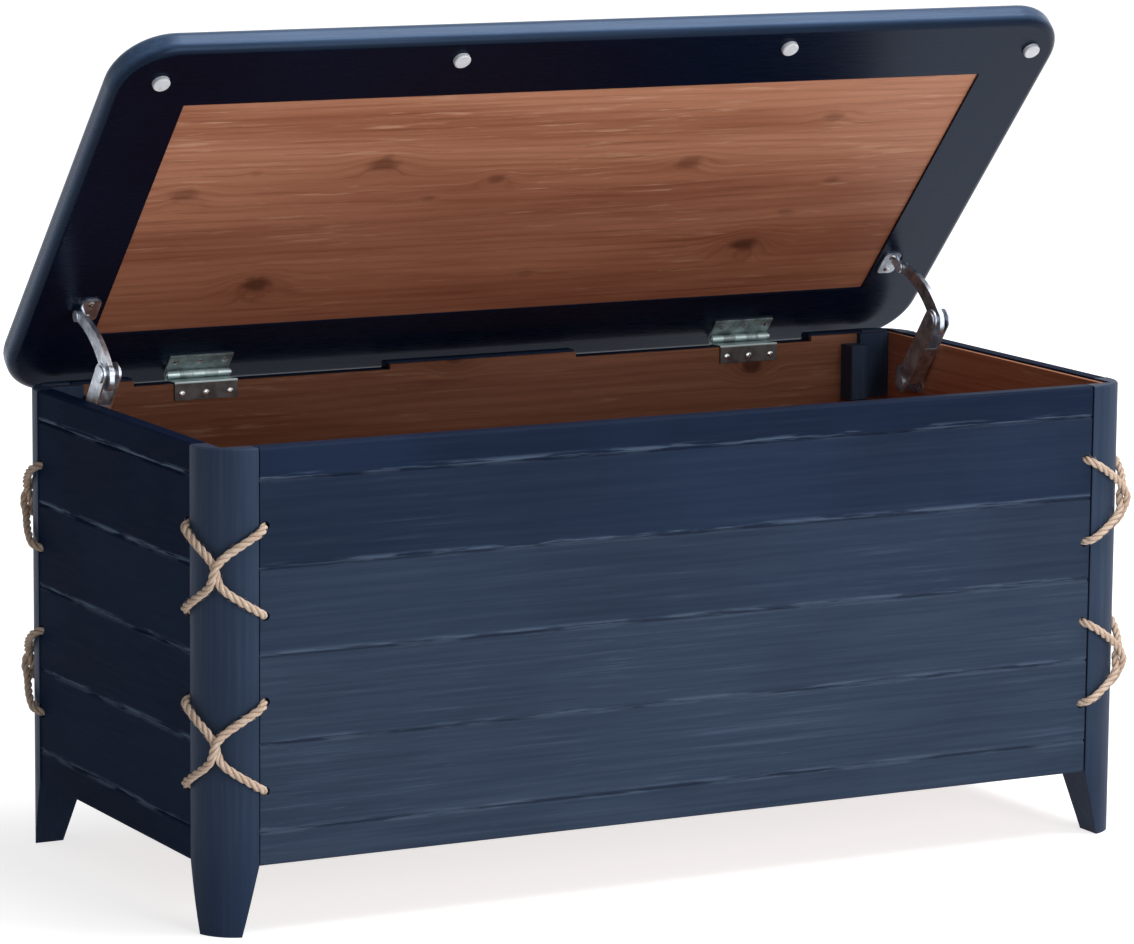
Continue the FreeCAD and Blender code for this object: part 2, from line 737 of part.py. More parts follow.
def body_screws():
    """Screws of the lower hinge leaves and the stays' wall plates."""
    screws = []
    for side in (-1, 1):
        for x, y, z in hinge_body_screw_places(side * hinge_x):
            screws.append(screw(V(x, y, z), V(0, 1, 0)))
        for place in stay_wall_screw_places():
            screws.append(screw(V(side * place.x, place.y, place.z), V(side, 0, 0)))
    return group(screws)


def lid_screws():
    """Screws of the upper hinge leaves and the stays' lid plates."""
    screws = []
    for side in (-1, 1):
        for x, y, z in hinge_lid_screw_places(side * hinge_x):
            screws.append(screw(V(x, y, z), V(0, 0, 1)))
        for place in stay_lid_screw_places():
            screws.append(screw(V(side * place.x, place.y, place.z), V(0, 0, 1)))
    return group([open_lid(shape) for shape in screws])


# Rope lashings
def post_surface(angle, offset, z):
    """Point outside the front left post's round corner; angle 0 faces -Y and 90 faces -X."""
    turn = math.radians(angle)
    reach = post_corner_radius + offset
    x = -half_width + post_corner_radius - reach * math.sin(turn)
    y = -half_depth + post_corner_radius - reach * math.cos(turn)
    return V(x, y, z)


def rope_route(z_centre, outer):
    """Hand-set route of one rope from the front hole over the post to the side hole."""
    lift = rope_radius + rope_surface_clearance
    apart = (rope_diameter + rope_twist_gap) / 2.0
    if outer:
        sign = 1.0
    else:
        sign = -1.0
    drop = rope_half_height
    hole_x = -half_width + post_width + rope_hole_offset
    hole_y = -half_depth + post_width + rope_hole_offset
    inner_y = -wall_inner_y - rope_end_gap
    inner_x = -wall_inner_x - rope_end_gap
    reach = post_corner_radius + lift
    corner_angle = 15.0
    corner_lift = reach / math.cos(math.radians(corner_angle)) - post_corner_radius
    twist_angle = math.degrees(apart / reach)
    twist = rope_twist_half_height
    entry = twist + (drop - twist) * rope_twist_entry_share
    middle_lift = lift + apart + sign * apart
    middle = 45.0
    return [
        V(hole_x, inner_y, z_centre + sign * drop),
        V(hole_x, -half_depth - lift - rope_exit_lift, z_centre + sign * drop),
        post_surface(corner_angle, corner_lift, z_centre + sign * entry),
        post_surface(middle - twist_angle, lift + apart, z_centre + sign * twist),
        post_surface(middle, middle_lift, z_centre),
        post_surface(middle + twist_angle, lift + apart, z_centre - sign * twist),
        post_surface(2 * middle - corner_angle, corner_lift, z_centre - sign * entry),
        V(-half_width - lift - rope_exit_lift, hole_y, z_centre - sign * drop),
        V(inner_x, hole_y, z_centre - sign * drop),
    ]


def rounded_path(points, run_share=0.45):
    """Straight runs joined by tangent arcs, each as large as its two runs allow."""
    edges = []
    radii = []
    start = points[0]
    for before, corner, after in zip(points, points[1:], points[2:]):
        back = before.sub(corner)
        ahead = after.sub(corner)
        cut = run_share * min(back.Length, ahead.Length)
        back = back.normalize()
        ahead = ahead.normalize()
        half_turn = (math.pi - back.getAngle(ahead)) / 2.0
        radius = cut / math.tan(half_turn)
        radii.append(radius)
        first = corner.add(back * cut)
        last = corner.add(ahead * cut)
        inward = back.add(ahead).normalize()
        centre = corner.add(inward * (radius / math.cos(half_turn)))
        middle = centre.sub(inward * radius)
        edges.append(Part.LineSegment(start, first).toShape())
        edges.append(Part.Arc(first, middle, last).toShape())
        start = last
    edges.append(Part.LineSegment(start, points[-1]).toShape())
    return Part.Wire(edges), radii


def rope(points):
    """Plain round tube along a route."""
    path, radii = rounded_path(points)
    first = points[1].sub(points[0])
    ring = Part.Wire([Part.makeCircle(rope_radius, points[0], first)])
    tube = path.makePipeShell([ring], True, False)
    expected = math.pi * rope_radius ** 2 * path.Length
    print("rope length %.1f radii %s volume ratio %.4f" % (
        path.Length, " ".join("%.0f" % radius for radius in radii), tube.Volume / expected,
    ))
    return Part.Solid(tube) if tube.ShapeType == "Shell" else tube


def front_left_lashing():
    """Two crosses of rope on the front left post."""
    ropes = []
    for z_centre in lashing_z:
        ropes.append(rope(rope_route(z_centre, True)))
        ropes.append(rope(rope_route(z_centre, False)))
    return ropes


def export_corners():
    """Posts and lashings, mirrored from the front left corner."""
    post = front_left_post()
    ropes = front_left_lashing()
    export("front_left_post", post)
    export("front_right_post", mirror_x(post))
    export("rear_left_post", mirror_y(post))
    export("rear_right_post", mirror_x(mirror_y(post)))
    export("front_left_lashing", group(ropes))
    export("front_right_lashing", group([mirror_x(shape) for shape in ropes]))
    export("rear_left_lashing", group([mirror_y(shape) for shape in ropes]))
    export("rear_right_lashing", group([mirror_x(mirror_y(shape)) for shape in ropes]))


def export_lining():
    """Lining, floor, floor cleats and corner blocks."""
    export("front_liner", front_liner())
    export("back_liner", back_liner())
    export("left_liner", left_liner())
    export("right_liner", mirror_x(left_liner()))
    export("floor_panel", floor_panel())
    export("floor_cleats", floor_cleats())
    export("rear_corner_blocks", corner_blocks())


def export_lid():
    """Lid panel, its cedar panel and bumpers, at rest."""
    export("lid_panel", open_lid(lid_panel()))
    export("lid_cedar_panel", open_lid(lid_cedar_panel()))
    export("lid_bumpers", open_lid(lid_bumpers()))


def export_hardware():
    """Hinges, stays and screws."""
    for side, name in ((-1, "left"), (1, "right")):
        export(name + "_hinge_lower_leaf", hinge_lower_leaf(side * hinge_x))
        export(name + "_hinge_upper_leaf", open_lid(hinge_upper_leaf(side * hinge_x)))
    export("hinge_pins", hinge_pins())
    stay_pieces = {
        "stay_wall_bracket": stay_wall_bracket(),
        "stay_lower_arm": stay_lower_arm(),
        "stay_upper_arm": stay_upper_arm(),
        "stay_elbow_pin": stay_elbow_pin(),
        "stay_lid_bracket": open_lid(stay_lid_bracket()),
    }
    for name, shape in stay_pieces.items():
        export("right_" + name, shape)
        export("left_" + name, mirror_x(shape))
    export("body_screws", body_screws())
    export("lid_screws", lid_screws())


export_walls()
export_corners()
export_lining()
export_lid()
export_hardware()
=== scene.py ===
import math
import random

import bmesh
import bpy
from mathutils import Matrix, Vector


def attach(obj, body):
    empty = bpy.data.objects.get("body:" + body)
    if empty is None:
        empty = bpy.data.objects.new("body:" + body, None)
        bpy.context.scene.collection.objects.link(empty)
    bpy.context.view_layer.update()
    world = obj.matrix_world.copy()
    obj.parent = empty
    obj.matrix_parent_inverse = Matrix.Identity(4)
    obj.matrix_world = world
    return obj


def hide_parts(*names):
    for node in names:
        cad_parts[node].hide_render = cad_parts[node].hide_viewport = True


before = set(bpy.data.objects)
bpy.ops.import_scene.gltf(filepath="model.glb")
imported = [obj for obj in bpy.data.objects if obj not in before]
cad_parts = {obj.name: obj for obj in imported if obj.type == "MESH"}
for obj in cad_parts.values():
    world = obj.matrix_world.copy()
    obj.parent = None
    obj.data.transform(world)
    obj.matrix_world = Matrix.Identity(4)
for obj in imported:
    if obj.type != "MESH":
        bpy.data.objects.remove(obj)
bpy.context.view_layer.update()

bl_info = {
    "name": "Storage Chest",
    "version": (1, 0, 0),
    "blender": (4, 5, 0),
    "location": "View3D > Sidebar > Chest",
    "description": "Dresses the packed storage chest: painted boards, cedar, rope lashings, hinges and stays",
    "category": "Object",
}

SIDES = ("left", "right")
WALLS = ("front", "left", "right", "back")
BOARDS = ("bottom_rail", "board_4", "board_3", "board_2", "board_1", "top_rail")
POSTS = ("front_left", "front_right", "rear_left", "rear_right")

# Line that the lid turns about, and how far the rest pose has it open
HINGE_LINE = Vector((0.0, 0.226, 0.45325))
OPEN_ANGLE = math.radians(48.0)
OPEN_TURN = Matrix.Rotation(-OPEN_ANGLE, 4, "X")
OPEN_LID = Matrix.Translation(HINGE_LINE) @ OPEN_TURN @ Matrix.Translation(-HINGE_LINE)

# Places on coordinates turned back by the lid's opening: the hinge line, the lid's underside,
# the band where the film begins on the lid's edge and the band where the painted highlight on its rim ends
LID_HINGE_Y = HINGE_LINE.y * math.cos(OPEN_ANGLE) - HINGE_LINE.z * math.sin(OPEN_ANGLE)
LID_UNDERSIDE = 0.47748
EDGE_BAND = (LID_UNDERSIDE + 0.0015, LID_UNDERSIDE + 0.0075)
RIM_HIGHLIGHT_BAND = (LID_UNDERSIDE + 0.0225, LID_UNDERSIDE + 0.0255)

# Heights above the floor where the film thins on the feet and where the hinges' knuckles begin, above the
# lower leaves' painted shade
FOOT_BAND = (0.03, 0.13)
KNUCKLE_BAND = (0.4465, 0.4485)

# Fineness of a pattern along the grain and across it
FIBRE_SCALE = (8.0, 300.0, 300.0)
BRISTLE_SCALE = (10.0, 380.0, 380.0)
CHIP_SCALE = (14.0, 160.0, 30.0)
STRAND_SCALE = (2.2, 15.0, 1.0)

WHITE = (1.0, 1.0, 1.0, 1.0)
BUMPER_SHADE = (0.72, 0.74, 0.77, 1.0)


# Selecting and making by operator


def deselect():
    """Nothing selected and no active object."""
    bpy.ops.object.select_all(action="DESELECT")
    bpy.context.view_layer.objects.active = None


def pick(*objects):
    """Only these objects selected, the first one active."""
    deselect()
    for item in objects:
        item.select_set(True)
    bpy.context.view_layer.objects.active = objects[0]


def settle(item, name):
    """Name a piece and put its place into its mesh."""
    pick(item)
    bpy.ops.object.transform_apply(location=True, rotation=True, scale=True)
    item.name = name
    item.data.name = name
    return item


def dress(item, material):
    """Give a piece its one material."""
    item.data.materials.clear()
    item.data.materials.append(material)


def fit_out(item, body, slot_name, material, *nodes):
    """Give a new piece its body, its material and the nodes it stands for; its slot name is not used."""
    dress(item, material)
    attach(item, body)
    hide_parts(*nodes)


def paint_node(name, material):
    """Give a frame node its material."""
    dress(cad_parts[name], material)


# Node helpers


def new_material(name):
    """Empty material with a Principled shader wired to its output."""
    material = bpy.data.materials.new(name)
    material.use_nodes = True
    tree = material.node_tree
    tree.nodes.clear()
    output = tree.nodes.new("ShaderNodeOutputMaterial")
    shader = tree.nodes.new("ShaderNodeBsdfPrincipled")
    tree.links.new(shader.outputs["BSDF"], output.inputs["Surface"])
    return material, tree, shader


def fill(tree, made, inputs):
    """Link or set a node's inputs."""
    for key, value in inputs.items():
        if isinstance(value, bpy.types.NodeSocket):
            tree.links.new(value, made.inputs[key])
        else:
            made.inputs[key].default_value = value


def node(tree, kind, inputs=None, **settings):
    """Add a node, set its properties and fill or link its inputs."""
    made = tree.nodes.new("ShaderNode" + kind)
    for key, value in settings.items():
        setattr(made, key, value)
    fill(tree, made, inputs or {})
    return made


def math_node(tree, operation, *values):
    """One sum on numbers or sockets."""
    return node(tree, "Math", dict(enumerate(values)), operation=operation).outputs[0]


def times(tree, first, second):
    """First times second."""
    return math_node(tree, "MULTIPLY", first, second)


def plus(tree, first, second):
    """First plus second."""
    return math_node(tree, "ADD", first, second)


def minus(tree, first, second):
    """First less second."""
    return math_node(tree, "SUBTRACT", first, second)


def over(tree, first, second):
    """First divided by second."""
    return math_node(tree, "DIVIDE", first, second)


def vector_of(tree, *parts):
    """Vector made of three numbers or sockets."""
    return node(tree, "CombineXYZ", dict(enumerate(parts))).outputs[0]


def axis_of(tree, vector, index):
    """One number of a vector."""
    return node(tree, "SeparateXYZ", {0: vector}).outputs[index]


def moved(tree, vector, shift):
    """Vector with a shift added."""
    return node(tree, "VectorMath", {0: vector, 1: shift}, operation="ADD").outputs[0]


def scaled(tree, vector, factors):
    """Vector with each of its numbers times its own factor."""
    return node(tree, "VectorMath", {0: vector, 1: factors}, operation="MULTIPLY").outputs[0]


def length_of(tree, vector):
    """Length of a vector."""
    return node(tree, "VectorMath", {0: vector}, operation="LENGTH").outputs["Value"]


def noise(tree, vector, scale, detail, roughness=0.5):
    """Soft noise from 0 to 1."""
    inputs = {"Vector": vector, "Scale": scale, "Detail": detail, "Roughness": roughness}
    return node(tree, "TexNoise", inputs).outputs[0]


def bumped(tree, height, strength, distance=0.0005):
    """Normal that a pattern's height bends."""
    return node(tree, "Bump", {"Height": height, "Strength": strength, "Distance": distance}).outputs[0]


def object_place(tree):
    """Object coordinates."""
    return node(tree, "TexCoord").outputs["Object"]


def above_floor(tree):
    """Height above the floor."""
    return axis_of(tree, object_place(tree), 2)


def ramp(tree, value, low, high, to_low=0.0, to_high=1.0, smooth=True):
    """Map a value from low..high to a new range, clamped."""
    kind = "SMOOTHSTEP" if smooth else "LINEAR"
    labels = ("Value", "From Min", "From Max", "To Min", "To Max")
    inputs = dict(zip(labels, (value, low, high, to_low, to_high)))
    return node(tree, "MapRange", inputs, interpolation_type=kind, clamp=True).outputs["Result"]


def blend_colours(tree, factor, first, second, blend="MIX"):
    """Blend two colours and return the colour socket."""
    made = tree.nodes.new("ShaderNodeMix")
    made.data_type = "RGBA"
    made.blend_type = blend
    made.clamp_factor = True
    fill(tree, made, {0: factor, 6: first, 7: second})
    return made.outputs[2]


def layered(tree, tone, *layers):
    """Colour with others laid over it in order, each as far as its own factor says."""
    for factor, layer in layers:
        tone = blend_colours(tree, factor, tone, layer)
    return tone


def new_group(name, numbers, outputs, vector=True):
    """Node group with named number sockets, most with a vector too; returns tree, inputs and end node."""
    tree = bpy.data.node_groups.new(name, "ShaderNodeTree")
    if vector:
        tree.interface.new_socket(name="Vector", in_out="INPUT", socket_type="NodeSocketVector")
    for label, default in numbers.items():
        socket = tree.interface.new_socket(name=label, in_out="INPUT", socket_type="NodeSocketFloat")
        socket.default_value = default
    for label in outputs:
        tree.interface.new_socket(name=label, in_out="OUTPUT", socket_type="NodeSocketFloat")
    return tree, tree.nodes.new("NodeGroupInput").outputs, tree.nodes.new("NodeGroupOutput")


def use_group(tree, name, inputs):
    """Place a shared effect's node group in a material with its own values."""
    made = tree.nodes.new("ShaderNodeGroup")
    made.node_tree = shared(name)
    fill(tree, made, inputs)
    return made


def colour(red, green, blue):
    """Linear colour from everyday 0-255 values."""
    def to_linear(value):
        value = value / 255.0
        return value / 12.92 if value <= 0.04045 else ((value + 0.055) / 1.055) ** 2.4
    return (to_linear(red), to_linear(green), to_linear(blue), 1.0)


# Shared effects


def wood_grain_group():
    """Long growth rings and fine fibres along the X of its vector; a swelling bends them into knots."""
    tree, get, end = new_group(
        "Wood Grain",
        {"Ring Spacing": 0.012, "Stretch": 14.0, "Waviness": 0.35, "Seed": 0.0, "Swell": 0.0},
        ("Rings", "Fibres", "Broad"),
    )
    parts = node(tree, "SeparateXYZ", {0: get["Vector"]})
    shift = vector_of(tree, times(tree, get["Seed"], 3.17), get["Seed"], 0.0)
    along = over(tree, parts.outputs[0], get["Stretch"])
    stretched = moved(tree, vector_of(tree, along, parts.outputs[1], parts.outputs[2]), shift)
    bend = times(tree, minus(tree, noise(tree, stretched, 9.0, 3.0), 0.5), get["Waviness"])
    swell = times(tree, math_node(tree, "POWER", get["Swell"], 2.0), 0.034)
    bend = plus(tree, times(tree, bend, 0.30), swell)
    phase = over(tree, plus(tree, parts.outputs[1], bend), get["Ring Spacing"])
    wave = math_node(tree, "PINGPONG", times(tree, math_node(tree, "FRACT", phase), 2.0), 1.0)
    rings = math_node(tree, "POWER", wave, 2.2)
    fine = scaled(tree, moved(tree, get["Vector"], vector_of(tree, 0.0, swell, 0.0)), FIBRE_SCALE)
    fibres = noise(tree, fine, 1.0, 5.0, 0.66)
    broad = noise(tree, stretched, 14.0, 3.0, 0.55)
    fill(tree, end, {"Rings": rings, "Fibres": fibres, "Broad": broad})
    return tree


def streak_group():
    """Long soft streaks, as a dry brush leaves them, along the X of its vector."""
    tree, get, end = new_group(
        "Brush Streaks", {"Length": 0.22, "Width": 0.004, "Amount": 0.5}, ("Streaks", "Fine"),
    )
    parts = node(tree, "SeparateXYZ", {0: get["Vector"]})
    sizes = (get["Length"], get["Width"], get["Width"])
    place = vector_of(tree, *(over(tree, part, size) for part, size in zip(parts.outputs, sizes)))
    coarse = noise(tree, place, 1.0, 5.0, 0.62)
    patches = noise(tree, get["Vector"], 6.0, 2.0)
    edge = minus(tree, 0.72, times(tree, get["Amount"], 0.2))
    lifted = plus(tree, coarse, times(tree, minus(tree, patches, 0.5), 0.3))
    streaks = ramp(tree, lifted, edge, plus(tree, edge, 0.16))
    fill(tree, end, {"Streaks": streaks, "Fine": coarse})
    return tree


def seam_group():
    """How near a height is to a seam between the wall boards, and which board it is on."""
    tree, get, end = new_group(
        "Board Seams",
        {"Height": 0.0, "First Seam": 0.098, "Board Height": 0.082, "Reach": 0.006},
        ("Near Seam", "Board Number"), vector=False,
    )
    steps = over(tree, minus(tree, get["Height"], get["First Seam"]), get["Board Height"])
    number = math_node(tree, "FLOOR", steps)
    part = times(tree, math_node(tree, "FRACT", steps), get["Board Height"])
    nearest = math_node(tree, "MINIMUM", part, minus(tree, get["Board Height"], part))
    fill(tree, end, {"Near Seam": ramp(tree, nearest, 0.0, get["Reach"], 1.0, 0.0), "Board Number": number})
    return tree


def scuff_group():
    """Small rubbed patches and grime for metal and hard finishes."""
    tree, get, end = new_group("Scuffs", {"Scale": 60.0, "Amount": 0.5}, ("Scuffs", "Cloud"))
    cloud = noise(tree, get["Vector"], get["Scale"], 5.0, 0.6)
    both = times(tree, cloud, noise(tree, get["Vector"], times(tree, get["Scale"], 7.0), 3.0))
    edge = minus(tree, 0.42, times(tree, get["Amount"], 0.2))
    fill(tree, end, {"Scuffs": ramp(tree, both, edge, plus(tree, edge, 0.12)), "Cloud": cloud})
    return tree


def knots_group():
    """Knots scattered over a board: the dark core and the swelling that bends the grain round it."""
    tree, get, end = new_group(
        "Scattered Knots", {"Spacing": 0.24, "Size": 0.014, "Seed": 0.0}, ("Core", "Swell"),
    )
    shift = vector_of(tree, get["Seed"], times(tree, get["Seed"], 1.7), 0.0)
    scale = over(tree, 1.0, get["Spacing"])
    place = node(tree, "VectorMath", {0: get["Vector"], 3: scale}, operation="SCALE").outputs[0]
    place = scaled(tree, moved(tree, place, shift), (0.7, 1.0, 1.0))
    inputs = {"Vector": place, "Scale": 1.0, "Randomness": 0.85}
    cells = node(tree, "TexVoronoi", inputs, voronoi_dimensions="2D")
    near = times(tree, cells.outputs["Distance"], get["Spacing"])
    small = times(tree, get["Size"], 0.4)
    wide = times(tree, get["Size"], 3.4)
    fill(tree, end, {
        "Core": ramp(tree, near, small, get["Size"], 1.0, 0.0),
        "Swell": ramp(tree, near, 0.0, wide, 1.0, 0.0),
    })
    return tree


def placed_knot_group():
    """One knot at a place on a board, added to the knots before it."""
    tree, get, end = new_group(
        "Placed Knot",
        {"Along": 0.0, "Across": 0.0, "Size": 0.012, "Strength": 1.0, "Core": 0.0, "Swell": 0.0},
        ("Core", "Swell"),
    )
    parts = node(tree, "SeparateXYZ", {0: get["Vector"]})
    wobble = times(tree, minus(tree, noise(tree, get["Vector"], 55.0, 1.0), 0.5), get["Size"])
    x = times(tree, minus(tree, parts.outputs[0], get["Along"]), 0.62)
    y = plus(tree, minus(tree, parts.outputs[1], get["Across"]), wobble)
    near = length_of(tree, vector_of(tree, x, y, 0.0))
    small = times(tree, get["Size"], 0.3)
    wide = times(tree, get["Size"], 3.2)
    core = times(tree, ramp(tree, near, small, get["Size"], 1.0, 0.0), get["Strength"])
    swell = times(tree, ramp(tree, near, 0.0, wide, 1.0, 0.0), get["Strength"])
    fill(tree, end, {
        "Core": math_node(tree, "MAXIMUM", core, get["Core"]),
        "Swell": math_node(tree, "MAXIMUM", swell, get["Swell"]),
    })
    return tree


GROUPS = {}


def shared(name):
    """A shared effect's node group, built once."""
    makers = {
        "grain": wood_grain_group, "knots": knots_group, "knot": placed_knot_group,
        "streaks": streak_group, "seams": seam_group, "scuffs": scuff_group,
    }
    if name not in GROUPS:
        GROUPS[name] = makers[name]()
    return GROUPS[name]


# Finishes


def along_board(tree, direction):
    """Object coordinates turned so that X runs along the boards and Y across their faces."""
    place = object_place(tree)
    if direction == "lid":
        return node(tree, "Mapping", {"Vector": place, "Rotation": (OPEN_ANGLE, 0.0, 0.0)}).outputs[0]
    x, y, z = node(tree, "SeparateXYZ", {0: place}).outputs
    orders = {"x": (x, z, y), "y": (y, z, x), "z": (z, x, y), "floor": (x, y, z)}
    return vector_of(tree, *orders[direction])


def board_film(tree, number):
    """The boards are darker towards the top: the light film's share falls on the upper boards."""
    return ramp(tree, number, 1.5, 3.5, 1.0, 0.22, smooth=False)


def foot_film(tree):
    """The light film is thinner on the feet."""
    return ramp(tree, above_floor(tree), *FOOT_BAND, 0.4, 0.72)


def outside_film(tree, place):
    """The light film lies on the lid's top and edges; its underside is plain."""
    return ramp(tree, axis_of(tree, place, 2), *EDGE_BAND, 0.0, 0.95)


def rim_highlight(tree, place):
    """Painted highlight: the lid's rim is lighter than its top, for the light that the rim catches."""
    return ramp(tree, axis_of(tree, place, 2), *RIM_HIGHLIGHT_BAND, 1.0, 0.0)


def navy_paint(name, direction, settings, gloss, seams=False, veil=1.0, wear=0.5, streak=0.34):
    """Semi-gloss navy paint with a light film brushed along the boards; on the lid's rim the film gives way
    to a painted highlight.
    """
    material, tree, shader = new_material(name)
    lid = direction == "lid"
    place = along_board(tree, direction)
    film = outside_film(tree, place) if lid else foot_film(tree)
    if seams:
        seam = use_group(tree, "seams", {"Height": above_floor(tree), "Reach": 0.005})
        number = seam.outputs["Board Number"]
        film = board_film(tree, number)
        shift = vector_of(tree, times(tree, number, 0.37), 0.0, times(tree, number, 1.9))
        place = moved(tree, place, shift)
    film = times(tree, film, veil)
    broad_streaks = use_group(tree, "streaks", {
        "Vector": place, "Length": 0.17, "Width": 0.0042, "Amount": settings.streaks,
    })
    fine_streaks = use_group(tree, "streaks", {
        "Vector": place, "Length": 0.05, "Width": 0.0014, "Amount": settings.streaks * 0.8,
    })
    cloud = noise(tree, place, 4.0, 3.0)
    deep, plain = (settings.lid_dark, settings.lid_navy) if lid else (settings.navy_dark, settings.navy)
    tone = blend_colours(tree, ramp(tree, cloud, 0.35, 0.65), deep, plain)
    brushed = ramp(tree, broad_streaks.outputs["Fine"], 0.32, 0.66, 0.72, 1.0)
    brushed = times(tree, brushed, ramp(tree, cloud, 0.3, 0.7, 0.85, 1.0))
    light = settings.navy_veil
    # On the lid, the rim gets a painted highlight in place of the film.
    if lid:
        light = blend_colours(tree, rim_highlight(tree, place), settings.navy_veil, settings.lid_rim_highlight)
    tone = blend_colours(tree, times(tree, film, brushed), tone, light)
    for marks, strength in ((broad_streaks, streak), (fine_streaks, streak * 1.3)):
        lift = times(tree, marks.outputs["Streaks"], times(tree, film, strength))
        tone = blend_colours(tree, lift, tone, settings.navy_streak)
    if seams:
        broken = noise(tree, scaled(tree, place, CHIP_SCALE), 1.0, 3.0, 0.6)
        worn = times(tree, seam.outputs["Near Seam"], ramp(tree, broken, 0.44, 0.60))
        tone = blend_colours(tree, times(tree, worn, wear), tone, settings.navy_wear)
    low, high = (0.24, 0.32) if lid else (0.48, 0.62)
    bristles = noise(tree, scaled(tree, place, BRISTLE_SCALE), 1.0, 4.0, 0.6)
    height = plus(tree, bristles, times(tree, broad_streaks.outputs["Fine"], 0.8))
    fill(tree, shader, {
        "Base Color": tone, "Roughness": ramp(tree, fine_streaks.outputs["Fine"], 0.3, 0.7, low, high),
        "Specular IOR Level": gloss, "Specular Tint": settings.shine,
        "Normal": bumped(tree, height, 0.05 if lid else 0.22),
    })
    return material


# Knots of the lid's cedar: along it, away from the hinges, size and strength
LID_KNOTS = (
    (-0.398, 0.259, 0.0135, 0.55), (-0.196, 0.291, 0.0150, 0.70), (-0.064, 0.261, 0.0085, 0.60),
    (0.148, 0.272, 0.0130, 0.60), (0.262, 0.140, 0.0145, 1.00), (0.294, 0.187, 0.0090, 0.35),
    (0.292, 0.331, 0.0110, 0.50), (-0.281, 0.121, 0.0150, 0.95), (-0.130, 0.236, 0.0060, 0.35),
    (0.020, 0.115, 0.0080, 0.35), (-0.330, 0.285, 0.0060, 0.30), (0.330, 0.235, 0.0080, 0.35),
)


def cedar_finish(name, direction, settings, seed=0.0, placed=(), painted_shade=1.0):
    """Clear-coated red cedar: long rings, fibres and knots that the grain flows round. Painted shade darkens
    the lid's panel towards the hinges, and a shaded copy all over by a given factor.
    """
    material, tree, shader = new_material(name)
    place = along_board(tree, direction)
    if placed:
        local = scaled(tree, moved(tree, place, (0.0, -LID_HINGE_Y, 0.0)), (1.0, -1.0, 1.0))
        core, swell = 0.0, 0.0
        for along, across, size, strength in placed:
            knot = use_group(tree, "knot", {
                "Vector": local, "Along": along, "Across": across, "Size": size, "Strength": strength,
                "Core": core, "Swell": swell,
            })
            core, swell = knot.outputs["Core"], knot.outputs["Swell"]
    else:
        knots = use_group(tree, "knots", {"Vector": place, "Seed": seed, "Spacing": 0.19, "Size": 0.011})
        core, swell = knots.outputs["Core"], knots.outputs["Swell"]
    grain = use_group(tree, "grain", {
        "Vector": place, "Ring Spacing": 0.0115, "Stretch": 11.0, "Waviness": 0.30, "Seed": seed,
        "Swell": swell,
    })
    rings, fibres, broad = (grain.outputs[label] for label in ("Rings", "Fibres", "Broad"))
    waved = moved(tree, place, vector_of(tree, 0.0, times(tree, broad, 0.022), 0.0))
    dashes = use_group(tree, "streaks", {"Vector": waved, "Length": 0.085, "Width": 0.0066, "Amount": 0.8})
    tone = layered(
        tree, settings.cedar_dark,
        (ramp(tree, broad, 0.36, 0.60), settings.cedar),
        (times(tree, rings, 0.28), settings.cedar_ring),
        (ramp(tree, fibres, 0.52, 0.75, 0.0, 0.55), settings.cedar_light),
        (times(tree, dashes.outputs["Streaks"], 0.62), settings.cedar_pale),
        (ramp(tree, fibres, 0.46, 0.30, 0.0, 0.45), settings.cedar_ring),
        (times(tree, math_node(tree, "POWER", swell, 2.0), 0.35), settings.cedar_ring),
        (times(tree, core, 0.72), settings.cedar_knot),
    )
    if placed:
        # Painted shade: the lid's cedar is darkened towards the hinges, where the chest's body keeps light
        # off it.
        deep = ramp(tree, axis_of(tree, local, 1), 0.38, 0.08, 0.0, 0.75)
        tone = blend_colours(tree, deep, tone, settings.cedar_hinge_shade, "MULTIPLY")
    # Painted shade: the whole colour is darkened by this factor for a shaded copy of the cedar.
    if painted_shade != 1.0:
        tone = blend_colours(tree, 1.0, tone, (painted_shade, painted_shade, painted_shade, 1.0), "MULTIPLY")
    fill(tree, shader, {
        "Base Color": tone, "Roughness": ramp(tree, fibres, 0.3, 0.7, 0.42, 0.56),
        "Specular IOR Level": 0.22 if placed else 0.08,
        "Normal": bumped(tree, minus(tree, fibres, times(tree, rings, 0.4)), 0.18, 0.0004),
    })
    return material


def metal_finish(name, tint, dark, rough, scale=70.0, knuckle=None):
    """Plated steel with faint scuffs and cloudy gloss; a hinge leaf in painted shade can keep the plain
    plating on its knuckle.
    """
    material, tree, shader = new_material(name)
    scuffs = use_group(tree, "scuffs", {"Vector": object_place(tree), "Scale": scale, "Amount": 0.6})
    cloud = scuffs.outputs["Cloud"]
    worn = times(tree, scuffs.outputs["Scuffs"], 0.35)
    tone = layered(tree, dark, (ramp(tree, cloud, 0.35, 0.65), tint), (worn, dark))
    if knuckle:
        tone = blend_colours(tree, ramp(tree, above_floor(tree), *KNUCKLE_BAND), tone, knuckle)
    fill(tree, shader, {
        "Base Color": tone, "Metallic": 1.0, "Roughness": ramp(tree, cloud, 0.3, 0.7, rough, rough + 0.14),
        "Normal": bumped(tree, cloud, 0.08, 0.0004),
    })
    return material


